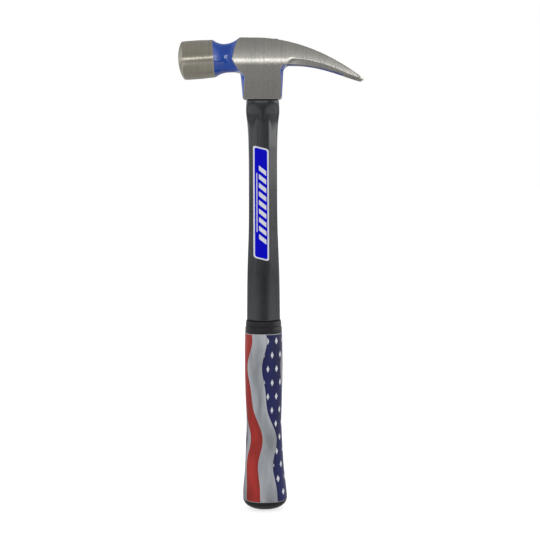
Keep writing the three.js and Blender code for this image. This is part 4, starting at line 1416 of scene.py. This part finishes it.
class HAMMER_OT_label(bpy.types.Operator):
    """Sticker that follows the jacket's facets"""

    bl_idname = "hammer.label"
    bl_label = "Label"
    # Rounding of the corners, and the height of front and back above the jacket
    CORNER = 1.9
    LIFTS = (0.3, 0.06)

    def execute(self, context):
        s = handle_sizes()
        outline = jacket_outline(s)
        rows, columns, corner = LABEL_ROWS, LABEL_COLUMNS, self.CORNER
        down = np.linspace(0.0, s.label_length, rows)
        end = np.minimum(down, s.label_length - down)
        easing = np.clip(corner - end, 0.0, corner)
        half = s.label_width / 2 - corner + np.sqrt(corner**2 - easing**2)
        across = half[:, None] * np.linspace(-1.0, 1.0, columns)[None, :]
        height = s.top - s.label_top_drop - down[:, None] - s.label_slant * (across / s.label_width + 0.5)
        x = s.label_shift + across
        side = jacket_side(s, outline, x, height)
        sheets = [np.stack([x, -side - lift, height], -1) for lift in self.LIFTS]
        points = np.vstack(sheets).reshape(-1, 3)
        base = rows * columns
        index = np.arange(base).reshape(rows, columns)
        front = np.stack([index[:-1, :-1], index[1:, :-1], index[1:, 1:], index[:-1, 1:]], -1).reshape(-1, 4)
        faces = front.tolist() + (base + front[:, [0, 3, 2, 1]]).tolist()
        sides = (index[0, :-1], index[:-1, -1], index[-1, :0:-1], index[:0:-1, 0])
        border = np.concatenate(sides).tolist()
        for a, b in zip(border, border[1:] + border[:1]):
            faces.append([a, b, base + b, base + a])
        piece = make_piece("side_label", points, faces, s.hand_height)
        down = np.broadcast_to(down[:, None], across.shape)
        spots = np.stack([across / s.label_width + 0.5, down / s.label_length], -1)
        spots = np.vstack([spots.reshape(-1, 2)] * 2)
        corners = np.empty(len(piece.data.loops), int)
        piece.data.loops.foreach_get("vertex_index", corners)
        layer = piece.data.uv_layers.new(name="label")
        layer.uv.foreach_set("vector", spots[corners].astype(np.float32).ravel())
        finish_piece(piece, "handle_label", label_material(s))
        return {"FINISHED"}


class HAMMER_OT_stage(bpy.types.Operator):
    """Camera, soft light and white floor"""

    bl_idname = "hammer.stage"
    bl_label = "Stage"

    def lamp(self, name, spot, target, width, height, radiance, mirrored):
        """A soft panel with the given brightness, turned to its target."""
        data = bpy.data.lights.new(name, "AREA")
        data.shape = "RECTANGLE"
        data.size = width
        data.size_y = height
        data.energy = radiance * width * height * math.pi
        made = bpy.data.objects.new(name, data)
        made.location = spot
        aim = target - made.location
        made.rotation_euler = aim.to_track_quat("-Z", "Y").to_euler()
        made.visible_camera = False
        made.visible_glossy = mirrored
        bpy.context.scene.collection.objects.link(made)

    def execute(self, context):
        scene = context.scene
        given = scene.hammer_stage
        data = bpy.data.cameras.new("photo_camera")
        data.sensor_width = 36.0
        data.lens = given.lens
        data.clip_start = 0.01
        camera = bpy.data.objects.new("photo_camera", data)
        camera.location = (given.camera_across, -given.camera_distance, given.camera_height)
        camera.rotation_euler = (math.pi / 2 - given.camera_pitch, 0.0, 0.0)
        scene.collection.objects.link(camera)
        scene.camera = camera
        camera.rotation_euler.rotate_axis("Z", -given.camera_roll)

        middle = (CAD_BOX[0] + CAD_BOX[1]) / 2
        high = middle.copy()
        high.z = CAD_BOX[1].z - 0.02
        for name, spot, width, height, radiance, mirrored in LAMPS:
            target = high if name.endswith("strip") else middle
            self.lamp(name, spot, target, width, height, radiance, mirrored)
        scene.world = white_studio(given.ambient)

        foot = CAD_BOX[0].z
        mesh = bpy.data.meshes.new("floor")
        corners = [(x * FLOOR_REACH, y * FLOOR_REACH, foot) for x, y in ((-1, -1), (1, -1), (1, 1), (-1, 1))]
        mesh.from_pydata(corners, [], [(0, 1, 2, 3)])
        mesh.materials.append(floor_material())
        floor = bpy.data.objects.new("floor", mesh)
        scene.collection.objects.link(floor)
        scene.view_settings.view_transform = "Standard"
        return {"FINISHED"}


class HAMMER_PT_panel(bpy.types.Panel):
    """Buttons for the hammer's pieces"""

    bl_idname = "HAMMER_PT_panel"
    bl_label = "Framing hammer"
    bl_space_type = "VIEW_3D"
    bl_region_type = "UI"
    bl_category = "Hammer"

    def draw(self, context):
        for step in STEPS:
            self.layout.operator(step.bl_idname)
        for group in GROUPS:
            owner = getattr(context.scene, group)
            box = self.layout.box()
            for prop in owner.bl_rna.properties:
                if prop.identifier not in ("rna_type", "name"):
                    box.prop(owner, prop.identifier)


GROUPS = {
    "hammer_head": HammerHeadSizes,
    "hammer_handle": HammerHandleSizes,
    "hammer_colours": HammerColours,
    "hammer_stage": HammerStage,
}
STEPS = (
    HAMMER_OT_head,
    HAMMER_OT_eye_filling,
    HAMMER_OT_core,
    HAMMER_OT_jacket,
    HAMMER_OT_grip,
    HAMMER_OT_film,
    HAMMER_OT_label,
    HAMMER_OT_stage,
)


def register():
    for name, group in GROUPS.items():
        bpy.utils.register_class(group)
        setattr(bpy.types.Scene, name, PointerProperty(type=group))
    for step in (*STEPS, HAMMER_PT_panel):
        bpy.utils.register_class(step)


def unregister():
    for step in (HAMMER_PT_panel, *reversed(STEPS)):
        bpy.utils.unregister_class(step)
    for name, group in GROUPS.items():
        delattr(bpy.types.Scene, name)
        bpy.utils.unregister_class(group)


def main():
    register()
    bpy.ops.hammer.head()
    bpy.ops.hammer.eye_filling()
    bpy.ops.hammer.core()
    bpy.ops.hammer.jacket()
    bpy.ops.hammer.grip()
    bpy.ops.hammer.film()
    bpy.ops.hammer.label()
    bpy.ops.hammer.stage()


if __name__ == "__main__":
    main()
